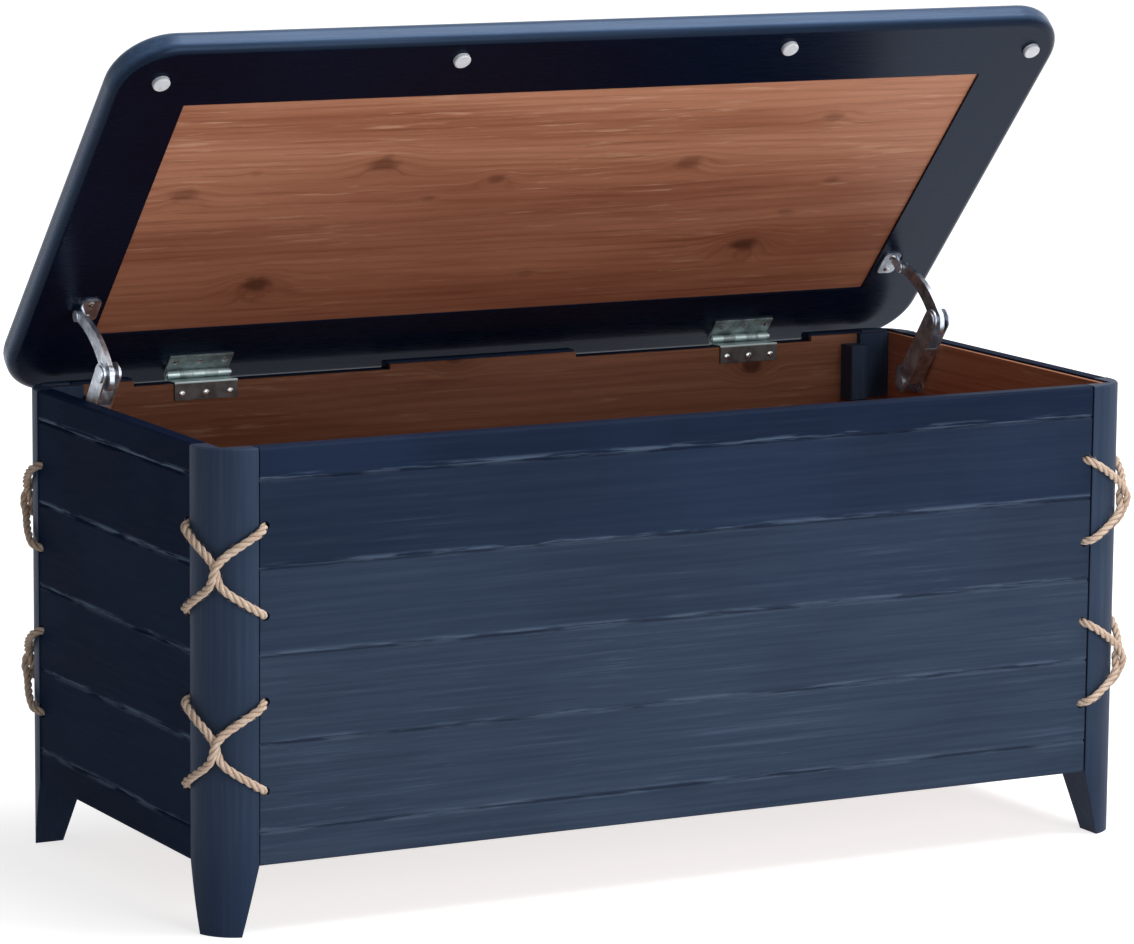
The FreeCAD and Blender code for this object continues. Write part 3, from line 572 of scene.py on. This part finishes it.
def rope_finish(settings):
    """Jute strand: fibres along the strand from the strand's own UV map, and painted shade where the strands
    meet.
    """
    material, tree, shader = new_material("Jute Rope")
    unwrapped = node(tree, "UVMap", uv_map="Strand").outputs[0]
    fibres = noise(tree, scaled(tree, unwrapped, STRAND_SCALE), 1.0, 4.0, 0.65)
    cloud = noise(tree, object_place(tree), 90.0, 3.0)
    # Painted shade: strand faces that turn towards the rope's middle are darkened.
    groove = node(tree, "Attribute", attribute_name="Groove").outputs["Fac"]
    tone = layered(
        tree, settings.rope_dark,
        (ramp(tree, fibres, 0.32, 0.68), settings.rope),
        (ramp(tree, cloud, 0.45, 0.75, 0.0, 0.5), settings.rope_light),
        (times(tree, groove, 0.42), settings.rope_groove_shade),
    )
    fill(tree, shader, {
        "Base Color": tone, "Roughness": 0.85, "Specular IOR Level": 0.2, "Normal": bumped(tree, fibres, 0.6),
    })
    return material


def plastic_finish(settings):
    """Soft off-white plastic with a faint grain."""
    material, tree, shader = new_material("Bumper Plastic")
    scuffs = use_group(tree, "scuffs", {"Vector": object_place(tree), "Scale": 180.0, "Amount": 0.4})
    cloud = scuffs.outputs["Cloud"]
    tone = blend_colours(tree, ramp(tree, cloud, 0.4, 0.7), settings.bumper, BUMPER_SHADE)
    fill(tree, shader, {"Base Color": tone, "Roughness": ramp(tree, cloud, 0.3, 0.7, 0.35, 0.5)})
    return material


# Rope lashings


# Control points of the upper rope of a cross on the front left post, z from the cross's middle
OVER_ROUTE = (
    (-0.4455, -0.2130, 0.0418), (-0.4455, -0.2364, 0.0418), (-0.4697, -0.2339, 0.0274),
    (-0.4901, -0.2260, 0.0130), (-0.4976, -0.2271, 0.0000), (-0.4965, -0.2196, -0.0130),
    (-0.5044, -0.1992, -0.0274), (-0.5070, -0.1750, -0.0418), (-0.4835, -0.1750, -0.0418),
)
# The rope below goes the other way and passes nearer the post in the middle
UNDER_ROUTE = [(x, y, -z) for x, y, z in OVER_ROUTE]
UNDER_ROUTE[4] = (-0.4905, -0.2200, 0.0000)
CROSS_HEIGHTS = (0.3404, 0.1771)

ROPE_STEP = 0.0016
STRANDS = 3
STRAND_SIDES = 10
FIBRE_SIDES = 3
FIBRE_RADIUS = 0.00011


def smooth_route(points):
    """Points along the NURBS curve that has the route's points as its control points."""
    curve = bpy.data.curves.new("Route", "CURVE")
    curve.dimensions = "3D"
    curve.resolution_u = 24
    spline = curve.splines.new("NURBS")
    spline.points.add(len(points) - 1)
    for place, point in zip(spline.points, points):
        place.co = (*point, 1.0)
    spline.order_u = 3
    spline.use_endpoint_u = True
    holder = bpy.data.objects.new("Route", curve)
    mesh = bpy.data.meshes.new_from_object(holder)
    line = [vertex.co.copy() for vertex in mesh.vertices]
    bpy.data.meshes.remove(mesh)
    bpy.data.objects.remove(holder)
    bpy.data.curves.remove(curve)
    return line


def distances_along(line):
    """Each point's distance from the line's start."""
    distances = [0.0]
    for before, after in zip(line, line[1:]):
        distances.append(distances[-1] + (after - before).length)
    return distances


def even_steps(line, step):
    """The same line with its points a fixed step apart, and each point's distance along it."""
    distances = distances_along(line)
    count = max(2, round(distances[-1] / step))
    marks = [distances[-1] * number / count for number in range(count + 1)]
    points, index = [], 0
    for mark in marks:
        while index < len(line) - 2 and distances[index + 1] < mark:
            index += 1
        length = distances[index + 1] - distances[index]
        part = (mark - distances[index]) / length if length else 0.0
        points.append(line[index].lerp(line[index + 1], min(max(part, 0.0), 1.0)))
    return points, marks


def carried_frames(points):
    """The line's direction at each point and two crosswise ones, carried along it without spin."""
    frames, crosswise = [], None
    for number in range(len(points)):
        before = points[max(number - 1, 0)]
        after = points[min(number + 1, len(points) - 1)]
        along = (after - before).normalized()
        if crosswise is None:
            crosswise = along.orthogonal().normalized()
        crosswise = (crosswise - along * crosswise.dot(along)).normalized()
        frames.append((along, crosswise, along.cross(crosswise)))
    return frames


def spoke(first, second, turn):
    """Direction between two crosswise ones, by its turn."""
    return first * math.cos(turn) + second * math.sin(turn)


def add_tube(mesh, uv_layer, groove_shade_layer, centres, hubs, radius, sides, chance):
    """One strand as a closed tube; hubs are the rope's own middle, which the grooves face."""
    rings, lengths = [], distances_along(centres)
    for centre, hub, (_, first, second) in zip(centres, hubs, carried_frames(centres)):
        outward = (centre - hub).normalized() if (centre - hub).length > 1e-7 else first
        ring = []
        for side in range(sides):
            direction = spoke(first, second, 2.0 * math.pi * side / sides)
            reach = radius * (1.0 + chance.uniform(-0.05, 0.05))
            vertex = mesh.verts.new(centre + direction * reach)
            # Share of painted shade: how far this face turns towards the rope's middle.
            vertex[groove_shade_layer] = min(max(0.55 - 0.9 * direction.dot(outward), 0.0), 1.0)
            ring.append(vertex)
        rings.append(ring)
    for number, (near, far) in enumerate(zip(rings, rings[1:])):
        start, end = lengths[number] / radius, lengths[number + 1] / radius
        for side in range(sides):
            other = (side + 1) % sides
            face = mesh.faces.new((near[side], near[other], far[other], far[side]))
            face.smooth = True
            around, next_around = side / sides, (side + 1) / sides
            corners = ((start, around), (start, next_around), (end, next_around), (end, around))
            for loop, corner in zip(face.loops, corners):
                loop[uv_layer].uv = corner
    mesh.faces.new(list(reversed(rings[0])))
    mesh.faces.new(rings[-1])


def add_rope(mesh, uv_layer, groove_shade_layer, points, settings, chance):
    """Three strands laid round the route's smooth line, with a few loose fibres."""
    radius = settings.rope_diameter / 2.0
    strand_radius = radius * 0.50
    line, marks = even_steps(smooth_route(points), ROPE_STEP)
    frames = carried_frames(line)
    phase = chance.uniform(0.0, 2.0 * math.pi)
    for strand in range(STRANDS):
        centres = []
        for point, mark, (_, first, second) in zip(line, marks, frames):
            turn = phase + 2.0 * math.pi * (mark / settings.rope_lay + strand / STRANDS)
            centres.append(point + spoke(first, second, turn) * (radius - strand_radius))
        add_tube(mesh, uv_layer, groove_shade_layer, centres, line, strand_radius, STRAND_SIDES, chance)
    for _ in range(settings.rope_fibres):
        index = chance.randrange(8, len(line) - 12)
        along, first, second = frames[index]
        outward = spoke(first, second, chance.uniform(0.0, 2.0 * math.pi))
        lift = chance.uniform(0.0006, 0.0020)
        run = chance.uniform(0.003, 0.007) * chance.choice((-1.0, 1.0))
        start = line[index] + outward * radius * 0.85
        sway = along.cross(outward) * chance.uniform(-0.0015, 0.0015)
        middle = start + along * run * 0.5 + outward * lift * 0.8 + sway * 0.4
        end = start + along * run + outward * lift + sway
        hubs = [line[index]] * 3
        add_tube(mesh, uv_layer, groove_shade_layer, (start, middle, end), hubs, FIBRE_RADIUS, FIBRE_SIDES, chance)


def make_lashing(corner, settings, material):
    """Both rope crosses of one post as one piece."""
    side = 1.0 if "left" in corner else -1.0
    end = 1.0 if "front" in corner else -1.0
    chance = random.Random("lashing " + corner)
    mesh = bmesh.new()
    uv_layer = mesh.loops.layers.uv.new("Strand")
    groove_shade_layer = mesh.verts.layers.float.new("Groove")
    for height in CROSS_HEIGHTS:
        for route in (OVER_ROUTE, UNDER_ROUTE):
            points = [Vector((side * x, end * y, z + height)) for x, y, z in route]
            add_rope(mesh, uv_layer, groove_shade_layer, points, settings, chance)
    data = bpy.data.meshes.new("rope_lashing_" + corner)
    bmesh.ops.recalc_face_normals(mesh, faces=mesh.faces[:])
    mesh.to_mesh(data)
    mesh.free()
    item = bpy.data.objects.new("rope_lashing_" + corner, data)
    bpy.context.scene.collection.objects.link(item)
    fit_out(item, "body", "jute_rope", material, corner + "_lashing")


# Screws


SHANK_RADIUS = 0.0016
SHANK_LENGTH = 0.0100
# How far the outline rises and then widens, step by step, from the shank's end to the head's top
SCREW_OUTLINE = (
    (SHANK_LENGTH, 1.0), (0.0, 2.125), (0.00035, 1.0), (0.0004, 0.86), (0.00035, 0.62), (0.00008, 0.45),
)
RECESS_LENGTH = 0.0034
RECESS_WIDTH = 0.0007
RECESS_DEPTH = 0.0014
RECESS_HEIGHT = 0.0012

HINGE_CENTRES = (-0.310, 0.310)
SCREW_STEPS = (-0.026, 0.0, 0.026)
# Places of the screws' heads, the lid's as if closed: y and z in a hinge leaf, then x, the two y
# and z in a stay plate
BODY_SCREWS = (0.2055, 0.4370, 0.476, (0.1565, 0.1715), 0.4085)
LID_SCREWS = (0.2125, 0.4575, 0.4532, (0.1155, 0.1335), 0.4575)


def make_screw():
    """Domed screw with a cross recess, its head's underside at the origin and its head along +Z."""
    deselect()
    bpy.ops.mesh.primitive_circle_add(
        vertices=20, radius=SHANK_RADIUS, fill_type="NGON", location=(0.0, 0.0, -SHANK_LENGTH),
    )
    screw = bpy.context.object
    bpy.ops.object.mode_set(mode="EDIT")
    bpy.ops.mesh.select_all(action="SELECT")
    for rise, widen in SCREW_OUTLINE:
        bpy.ops.mesh.extrude_region_move(TRANSFORM_OT_translate={"value": (0.0, 0.0, rise)})
        if widen != 1.0:
            bpy.ops.transform.resize(value=(widen, widen, 1.0))
    bpy.ops.mesh.select_all(action="SELECT")
    bpy.ops.mesh.remove_doubles(threshold=0.00001)
    bpy.ops.mesh.normals_make_consistent(inside=False)
    bpy.ops.object.mode_set(mode="OBJECT")
    for long_x, long_y in ((RECESS_LENGTH, RECESS_WIDTH), (RECESS_WIDTH, RECESS_LENGTH)):
        deselect()
        bpy.ops.mesh.primitive_cube_add(size=1.0, location=(0.0, 0.0, RECESS_HEIGHT))
        cutter = bpy.context.object
        cutter.scale = (long_x, long_y, RECESS_DEPTH)
        settle(cutter, "recess_cutter")
        pick(screw)
        cut = screw.modifiers.new("Cross Recess", "BOOLEAN")
        cut.operation = "DIFFERENCE"
        cut.solver = "EXACT"
        cut.object = cutter
        bpy.ops.object.modifier_apply(modifier=cut.name)
        bpy.data.objects.remove(cutter)
    return settle(screw, "screw_pattern")


def place_screws(name, body, places, material, replaced):
    """Copies of one screw at each place and direction, joined as one piece."""
    pattern = make_screw()
    copies = []
    for place, outward in places:
        copy = pattern.copy()
        copy.data = pattern.data.copy()
        bpy.context.scene.collection.objects.link(copy)
        turn = outward.to_track_quat("Z", "Y").to_matrix().to_4x4()
        copy.matrix_world = Matrix.Translation(place) @ turn
        copies.append(copy)
    bpy.data.objects.remove(pattern)
    pick(*copies)
    bpy.ops.object.join()
    item = settle(bpy.context.object, name)
    bpy.ops.object.shade_smooth_by_angle(angle=math.radians(40.0))
    fit_out(item, body, "screw_steel", material, replaced)


def screw_places(leaf_y, leaf_z, plate_x, plate_ys, plate_z):
    """Places of three screws in each hinge leaf and of two in each stay plate."""
    leaves = [Vector((centre + step, leaf_y, leaf_z)) for centre in HINGE_CENTRES for step in SCREW_STEPS]
    plates = [Vector((side * plate_x, y, plate_z)) for side in (-1.0, 1.0) for y in plate_ys]
    return leaves, plates


def body_screw_places():
    """Screws of the lower hinge leaves and of the stays' wall plates, each with its direction."""
    leaves, plates = screw_places(*BODY_SCREWS)
    places = [(place, Vector((0.0, -1.0, 0.0))) for place in leaves]
    return places + [(place, Vector((math.copysign(1.0, -place.x), 0.0, 0.0))) for place in plates]


def lid_screw_places():
    """Screws of the upper hinge leaves and of the stays' lid plates, with the lid at rest."""
    outward = OPEN_TURN.to_3x3() @ Vector((0.0, 0.0, -1.0))
    leaves, plates = screw_places(*LID_SCREWS)
    return [(OPEN_LID @ place, outward) for place in leaves + plates]


# Settings


def colour_setting(name, description, red, green, blue):
    """A colour that a user can change."""
    return bpy.props.FloatVectorProperty(
        name=name, description=description, subtype="COLOR", size=4, min=0.0, max=1.0,
        default=colour(red, green, blue),
    )


def number_setting(name, description, default, low=0.0, high=1.0, **kind):
    """A number within limits; it is a share of one where no unit is given."""
    kind = kind or {"subtype": "FACTOR"}
    return bpy.props.FloatProperty(
        name=name, description=description, default=default, min=low, max=high, **kind,
    )


class ChestFinishes(bpy.types.PropertyGroup):
    """Colours of the chest's paint, cedar, metals and bumpers."""

    navy: colour_setting("Navy", "Main colour of the paint", 20, 35, 61)
    navy_dark: colour_setting("Dark Navy", "Paint where it is thicker", 14, 26, 49)
    navy_veil: colour_setting("Navy Veil", "Thin lighter film brushed over the paint", 60, 72, 91)
    navy_streak: colour_setting("Brush Streaks", "Dry-brushed streaks along the boards", 84, 101, 125)
    navy_wear: colour_setting("Seam Wear", "Rubbed paint along the seams", 108, 126, 150)
    lid_navy: colour_setting("Lid Navy", "Smooth paint of the lid's underside", 6, 17, 37)
    lid_dark: colour_setting("Dark Lid Navy", "Darker clouds of the lid's underside", 4, 11, 29)
    shine: colour_setting("Paint Shine", "Tint of the paint's reflections", 166, 205, 255)
    # Painted highlight on the lid's rim.
    lid_rim_highlight: colour_setting("Lid Rim Highlight", "Painted highlight on the lid's rim", 70, 92, 124)
    cedar: colour_setting("Cedar", "Main colour of the cedar", 204, 142, 112)
    cedar_light: colour_setting("Light Cedar", "Pale fibres of the cedar", 220, 166, 134)
    cedar_dark: colour_setting("Dark Cedar", "Darker bands of the cedar", 174, 113, 86)
    cedar_ring: colour_setting("Growth Rings", "Growth rings of the cedar", 132, 76, 52)
    cedar_knot: colour_setting("Knots", "Cores of the knots", 78, 42, 30)
    cedar_pale: colour_setting("Pale Dashes", "Short pale marks along the grain", 226, 176, 146)
    # Painted shade on the lid's cedar near the hinges.
    cedar_hinge_shade: colour_setting("Cedar Hinge Shade", "Painted shade near the hinges, as a multiplier", 186, 172, 166)
    bumper: colour_setting("Bumpers", "Soft plastic of the bumpers", 236, 240, 246)
    zinc: colour_setting("Zinc", "Plating of the hinges", 178, 193, 194)
    # Painted shade on the hinges' lower leaves.
    zinc_shaded: colour_setting("Shaded Zinc", "Painted shade on the plating of the hinges' lower leaves", 84, 80, 80)
    zinc_shadow: colour_setting("Dark Shaded Zinc", "Cloudy parts of the lower leaves' plating, with painted shade", 62, 58, 57)
    zinc_dark: colour_setting("Dark Zinc", "Cloudy parts of the hinges' plating", 132, 140, 142)
    nickel: colour_setting("Nickel", "Plating of the stays", 218, 226, 236)
    nickel_dark: colour_setting("Dark Nickel", "Cloudy parts of the stays' plating", 168, 174, 184)
    screw: colour_setting("Screws", "Plating of the screws", 214, 216, 214)
    screw_dark: colour_setting("Dark Screws", "Cloudy parts of the screws' plating", 158, 160, 158)
    streaks: number_setting("Streaks", "How much of the paint is dry-brushed", 0.6)
    paint_gloss: number_setting("Paint Gloss", "Strength of the walls' reflections", 0.04)
    lid_gloss: number_setting("Lid Gloss", "Strength of the lid's reflections", 0.25)
    post_gloss: number_setting("Post Gloss", "Strength of the posts' reflections", 0.21)


class ChestRope(bpy.types.PropertyGroup):
    """Sizes and colours of the rope lashings."""

    rope_diameter: number_setting(
        "Diameter", "Thickness of the rope", 0.008, 0.003, 0.010, unit="LENGTH", precision=4,
    )
    rope_lay: number_setting(
        "Lay", "Length of one turn of a strand", 0.026, 0.012, 0.060, unit="LENGTH", precision=4,
    )
    rope_fibres: bpy.props.IntProperty(
        name="Loose Fibres", description="Fibres that stand off each rope", default=70, min=0, max=300,
    )
    rope: colour_setting("Jute", "Main colour of the rope", 236, 212, 194)
    rope_light: colour_setting("Light Jute", "Bleached patches of the rope", 246, 230, 214)
    rope_dark: colour_setting("Dark Jute", "Darker fibres of the rope", 204, 176, 150)
    rope_groove_shade: colour_setting("Groove Shade", "Painted shade between the strands", 96, 70, 48)


class ChestStage(bpy.types.PropertyGroup):
    """Camera, lamps and floor."""

    lens: number_setting("Lens", "Focal length of the camera", 165.24, 20.0, 400.0, unit="CAMERA")
    camera_place: bpy.props.FloatVectorProperty(
        name="Camera Place", description="Where the camera stands", subtype="XYZ", size=3, unit="LENGTH",
        default=(-2.3949, -4.4627, 1.2073),
    )
    camera_turn: bpy.props.FloatVectorProperty(
        name="Camera Turn", description="Camera's heading, pitch and roll", size=3, subtype="EULER",
        unit="ROTATION", default=(-0.49012, -0.16460, 0.00884),
    )
    key_power: number_setting("Key Lamp", "Power of the large lamp in front", 50.0, 0.0, 2000.0, unit="POWER")
    bounce_power: number_setting("Low Lamp", "Power of the low lamp in front", 22.0, 0.0, 500.0, unit="POWER")
    top_power: number_setting("Top Lamp", "Power of the lamp overhead", 110.0, 0.0, 2000.0, unit="POWER")
    fill: number_setting("Fill", "Strength of the light from all round", 0.20, 0.0, 2.0, unit="NONE")


# Operators


class CHEST_OT_painted_body(bpy.types.Operator):
    """Paints the posts, boards and corner blocks navy"""

    bl_idname = "chest.painted_body"
    bl_label = "Painted Body"

    def execute(self, context):
        finishes = context.scene.chest_finishes
        gloss = finishes.paint_gloss
        long_boards = navy_paint("Navy Paint Long Boards", "x", finishes, gloss, seams=True)
        # Painted shade: the end boards get only 0.14 of the light film, so the chest's sides are darker than
        # its front; their stronger seam wear is real.
        shaded_end_boards = navy_paint(
            "Navy Paint End Boards", "y", finishes, gloss * 0.2, seams=True, veil=0.14, wear=0.95,
        )
        posts = navy_paint("Navy Paint Posts", "z", finishes, finishes.post_gloss, streak=0.45)
        for wall in WALLS:
            material = shaded_end_boards if wall in SIDES else long_boards
            for board in BOARDS:
                paint_node(wall + "_" + board, material)
        for corner in POSTS:
            paint_node(corner + "_post", posts)
        paint_node("rear_corner_blocks", posts)
        return {"FINISHED"}


class CHEST_OT_cedar_lining(bpy.types.Operator):
    """Gives the lining, floor and floor cleats their cedar"""

    bl_idname = "chest.cedar_lining"
    bl_label = "Cedar Lining"

    def execute(self, context):
        finishes = context.scene.chest_finishes
        # Painted shade: the front and back lining are copies of the cedar darkened to 0.43, the end lining to
        # 0.8, for the shade inside the chest.
        shaded_long_cedar = cedar_finish("Cedar Long Lining", "x", finishes, seed=2.3, painted_shade=0.43)
        shaded_end_cedar = cedar_finish("Cedar End Lining", "y", finishes, seed=5.1, painted_shade=0.8)
        floor_cedar = cedar_finish("Cedar Floor", "floor", finishes, seed=7.7)
        for wall in WALLS:
            paint_node(wall + "_liner", shaded_end_cedar if wall in SIDES else shaded_long_cedar)
        for name in ("floor_panel", "floor_cleats"):
            paint_node(name, floor_cedar)
        return {"FINISHED"}


class CHEST_OT_lid(bpy.types.Operator):
    """Paints the lid and gives its inside panel a knotty cedar"""

    bl_idname = "chest.lid"
    bl_label = "Lid"

    def execute(self, context):
        finishes = context.scene.chest_finishes
        paint_node("lid_panel", navy_paint("Navy Paint Lid", "lid", finishes, finishes.lid_gloss))
        cedar = cedar_finish("Cedar Lid Panel", "lid", finishes, seed=1.0, placed=LID_KNOTS)
        paint_node("lid_cedar_panel", cedar)
        return {"FINISHED"}


class CHEST_OT_bumpers(bpy.types.Operator):
    """Gives the lid's bumpers their soft plastic"""

    bl_idname = "chest.bumpers"
    bl_label = "Bumpers"

    def execute(self, context):
        paint_node("lid_bumpers", plastic_finish(context.scene.chest_finishes))
        return {"FINISHED"}


class CHEST_OT_rope_lashings(bpy.types.Operator):
    """Lays the three-strand rope crosses on the four posts"""

    bl_idname = "chest.rope_lashings"
    bl_label = "Rope Lashings"

    def execute(self, context):
        settings = context.scene.chest_rope
        material = rope_finish(settings)
        for corner in POSTS:
            make_lashing(corner, settings, material)
        return {"FINISHED"}


class CHEST_OT_hinges(bpy.types.Operator):
    """Gives the hinge leaves and pins their zinc plating"""

    bl_idname = "chest.hinges"
    bl_label = "Hinges"

    def execute(self, context):
        finishes = context.scene.chest_finishes
        material = metal_finish("Zinc Plate", finishes.zinc, finishes.zinc_dark, 0.48)
        # Painted shade: the lower leaves are a darker copy of the zinc, with the plain zinc kept on their
        # knuckles.
        shaded_zinc = metal_finish(
            "Dull Zinc Plate", finishes.zinc_shaded, finishes.zinc_shadow, 0.40, knuckle=finishes.zinc,
        )
        for side in SIDES:
            paint_node(side + "_hinge_upper_leaf", material)
            paint_node(side + "_hinge_lower_leaf", shaded_zinc)
        paint_node("hinge_pins", material)
        return {"FINISHED"}


class CHEST_OT_stays(bpy.types.Operator):
    """Gives the folding lid stays their bright nickel plating"""

    bl_idname = "chest.stays"
    bl_label = "Lid Stays"

    def execute(self, context):
        finishes = context.scene.chest_finishes
        material = metal_finish("Nickel Plate", finishes.nickel, finishes.nickel_dark, 0.34, scale=95.0)
        for side in SIDES:
            for piece in ("wall_bracket", "lower_arm", "upper_arm", "elbow_pin", "lid_bracket"):
                paint_node(side + "_stay_" + piece, material)
        return {"FINISHED"}


class CHEST_OT_screws(bpy.types.Operator):
    """Sets the cross-head screws of the hinges and stays"""

    bl_idname = "chest.screws"
    bl_label = "Screws"

    def execute(self, context):
        finishes = context.scene.chest_finishes
        material = metal_finish("Screw Steel", finishes.screw, finishes.screw_dark, 0.20, scale=240.0)
        place_screws("body_screw_heads", "body", body_screw_places(), material, "body_screws")
        place_screws("lid_screw_heads", "lid", lid_screw_places(), material, "lid_screws")
        return {"FINISHED"}


FLOOR_SIZE = 60.0
FLOOR_COLOUR = (0.78, 0.78, 0.79, 1.0)
# Each lamp's name, its place, what it faces, its size and the setting of its power
LAMPS = (
    ("key_lamp", (0.9, -4.3, 1.2), (0.0, 0.0, 0.4), 2.0, "key_power"),
    ("bounce_lamp", (0.3, -2.3, 0.06), (0.0, 0.0, 0.6), 1.5, "bounce_power"),
    ("top_lamp", (1.4, -0.8, 4.0), (0.0, 0.0, 0.4), 2.4, "top_power"),
)


def add_lamp(name, place, target, size, power):
    """Square soft lamp that faces a point."""
    deselect()
    bpy.ops.object.light_add(type="AREA", location=place)
    lamp = bpy.context.object
    lamp.name = name
    lamp.data.size = size
    lamp.data.energy = power
    aim = Vector(target) - Vector(place)
    lamp.rotation_euler = aim.to_track_quat("-Z", "Y").to_euler()


class CHEST_OT_stage(bpy.types.Operator):
    """Sets up the floor, the lamps, the surroundings and the camera"""

    bl_idname = "chest.stage"
    bl_label = "Stage"

    def execute(self, context):
        settings = context.scene.chest_stage
        self.make_camera(context, settings)
        self.make_floor()
        self.make_world(context, settings)
        for name, place, target, size, power in LAMPS:
            add_lamp(name, place, target, size, getattr(settings, power))
        context.scene.view_settings.view_transform = "Standard"
        return {"FINISHED"}

    def make_camera(self, context, settings):
        """Camera with the photograph's place, heading and lens."""
        heading, pitch, roll = settings.camera_turn
        level = Vector((-math.sin(heading), math.cos(heading), 0.0))
        forward = level * math.cos(pitch) + Vector((0.0, 0.0, math.sin(pitch)))
        right = Vector((math.cos(heading), math.sin(heading), 0.0))
        up = right.cross(forward)
        right, up = spoke(right, up, roll), spoke(up, -right, roll)
        data = bpy.data.cameras.new("camera")
        data.sensor_width = 36.0
        data.lens = settings.lens
        data.clip_end = 60.0
        camera = bpy.data.objects.new("camera", data)
        context.scene.collection.objects.link(camera)
        turn = Matrix((right, up, -forward)).transposed().to_4x4()
        camera.matrix_world = Matrix.Translation(Vector(settings.camera_place)) @ turn
        context.scene.camera = camera

    def make_floor(self):
        """Pale floor that keeps the shadow and looks white to the camera and in reflections."""
        deselect()
        bpy.ops.mesh.primitive_plane_add(size=FLOOR_SIZE, location=(0.0, 0.0, 0.0))
        floor = bpy.context.object
        floor.name = "floor"
        material, tree, shader = new_material("Pale Floor")
        path = node(tree, "LightPath").outputs
        mirrored = math_node(tree, "MAXIMUM", path["Is Glossy Ray"], path["Is Transmission Ray"])
        seen = plus(tree, path["Is Camera Ray"], times(tree, mirrored, 0.80))
        glow = ramp(tree, length_of(tree, object_place(tree)), 0.8, 2.4, 0.72, 1.0)
        fill(tree, shader, {
            "Base Color": FLOOR_COLOUR, "Roughness": 0.9, "Specular IOR Level": 0.0,
            "Emission Color": WHITE, "Emission Strength": times(tree, seen, glow),
        })
        dress(floor, material)

    def make_world(self, context, settings):
        """White where it is seen, soft and even where it lights."""
        world = bpy.data.worlds.new("surroundings")
        world.use_nodes = True
        tree = world.node_tree
        tree.nodes.clear()
        output = tree.nodes.new("ShaderNodeOutputWorld")
        path = node(tree, "LightPath").outputs
        seen = math_node(tree, "MAXIMUM", path["Is Camera Ray"], path["Is Glossy Ray"])
        seen = math_node(tree, "MAXIMUM", seen, path["Is Transmission Ray"])
        strength = ramp(tree, seen, 0.0, 1.0, settings.fill, 1.0, smooth=False)
        glow = node(tree, "Background", {"Color": WHITE, "Strength": strength})
        tree.links.new(glow.outputs[0], output.inputs["Surface"])
        context.scene.world = world


class CHEST_PT_panel(bpy.types.Panel):
    """Lists the chest's pieces and settings"""

    bl_idname = "CHEST_PT_panel"
    bl_label = "Storage Chest"
    bl_space_type = "VIEW_3D"
    bl_region_type = "UI"
    bl_category = "Chest"

    def draw(self, context):
        layout = self.layout
        for step in STEPS:
            layout.operator("chest." + step)
        for name, kind in SETTINGS.items():
            box = layout.box()
            for setting in kind.__annotations__:
                box.prop(getattr(context.scene, name), setting)


STEPS = (
    "stage", "painted_body", "cedar_lining", "lid", "bumpers", "rope_lashings", "hinges", "stays", "screws",
)
SETTINGS = {"chest_finishes": ChestFinishes, "chest_rope": ChestRope, "chest_stage": ChestStage}
CLASSES = (
    *SETTINGS.values(), CHEST_OT_painted_body, CHEST_OT_cedar_lining, CHEST_OT_lid, CHEST_OT_bumpers,
    CHEST_OT_rope_lashings, CHEST_OT_hinges, CHEST_OT_stays, CHEST_OT_screws, CHEST_OT_stage, CHEST_PT_panel,
)


def register():
    """Adds the classes and the settings to the scene."""
    for item in CLASSES:
        bpy.utils.register_class(item)
    for name, kind in SETTINGS.items():
        setattr(bpy.types.Scene, name, bpy.props.PointerProperty(type=kind))


def unregister():
    """Takes the settings and the classes out again."""
    for name in SETTINGS:
        delattr(bpy.types.Scene, name)
    for item in reversed(CLASSES):
        bpy.utils.unregister_class(item)


def main():
    """Makes every piece in order."""
    register()
    for step in STEPS:
        if getattr(bpy.ops.chest, step)() != {"FINISHED"}:
            raise RuntimeError("The step " + step + " didn't finish.")


if __name__ == "__main__":
    main()
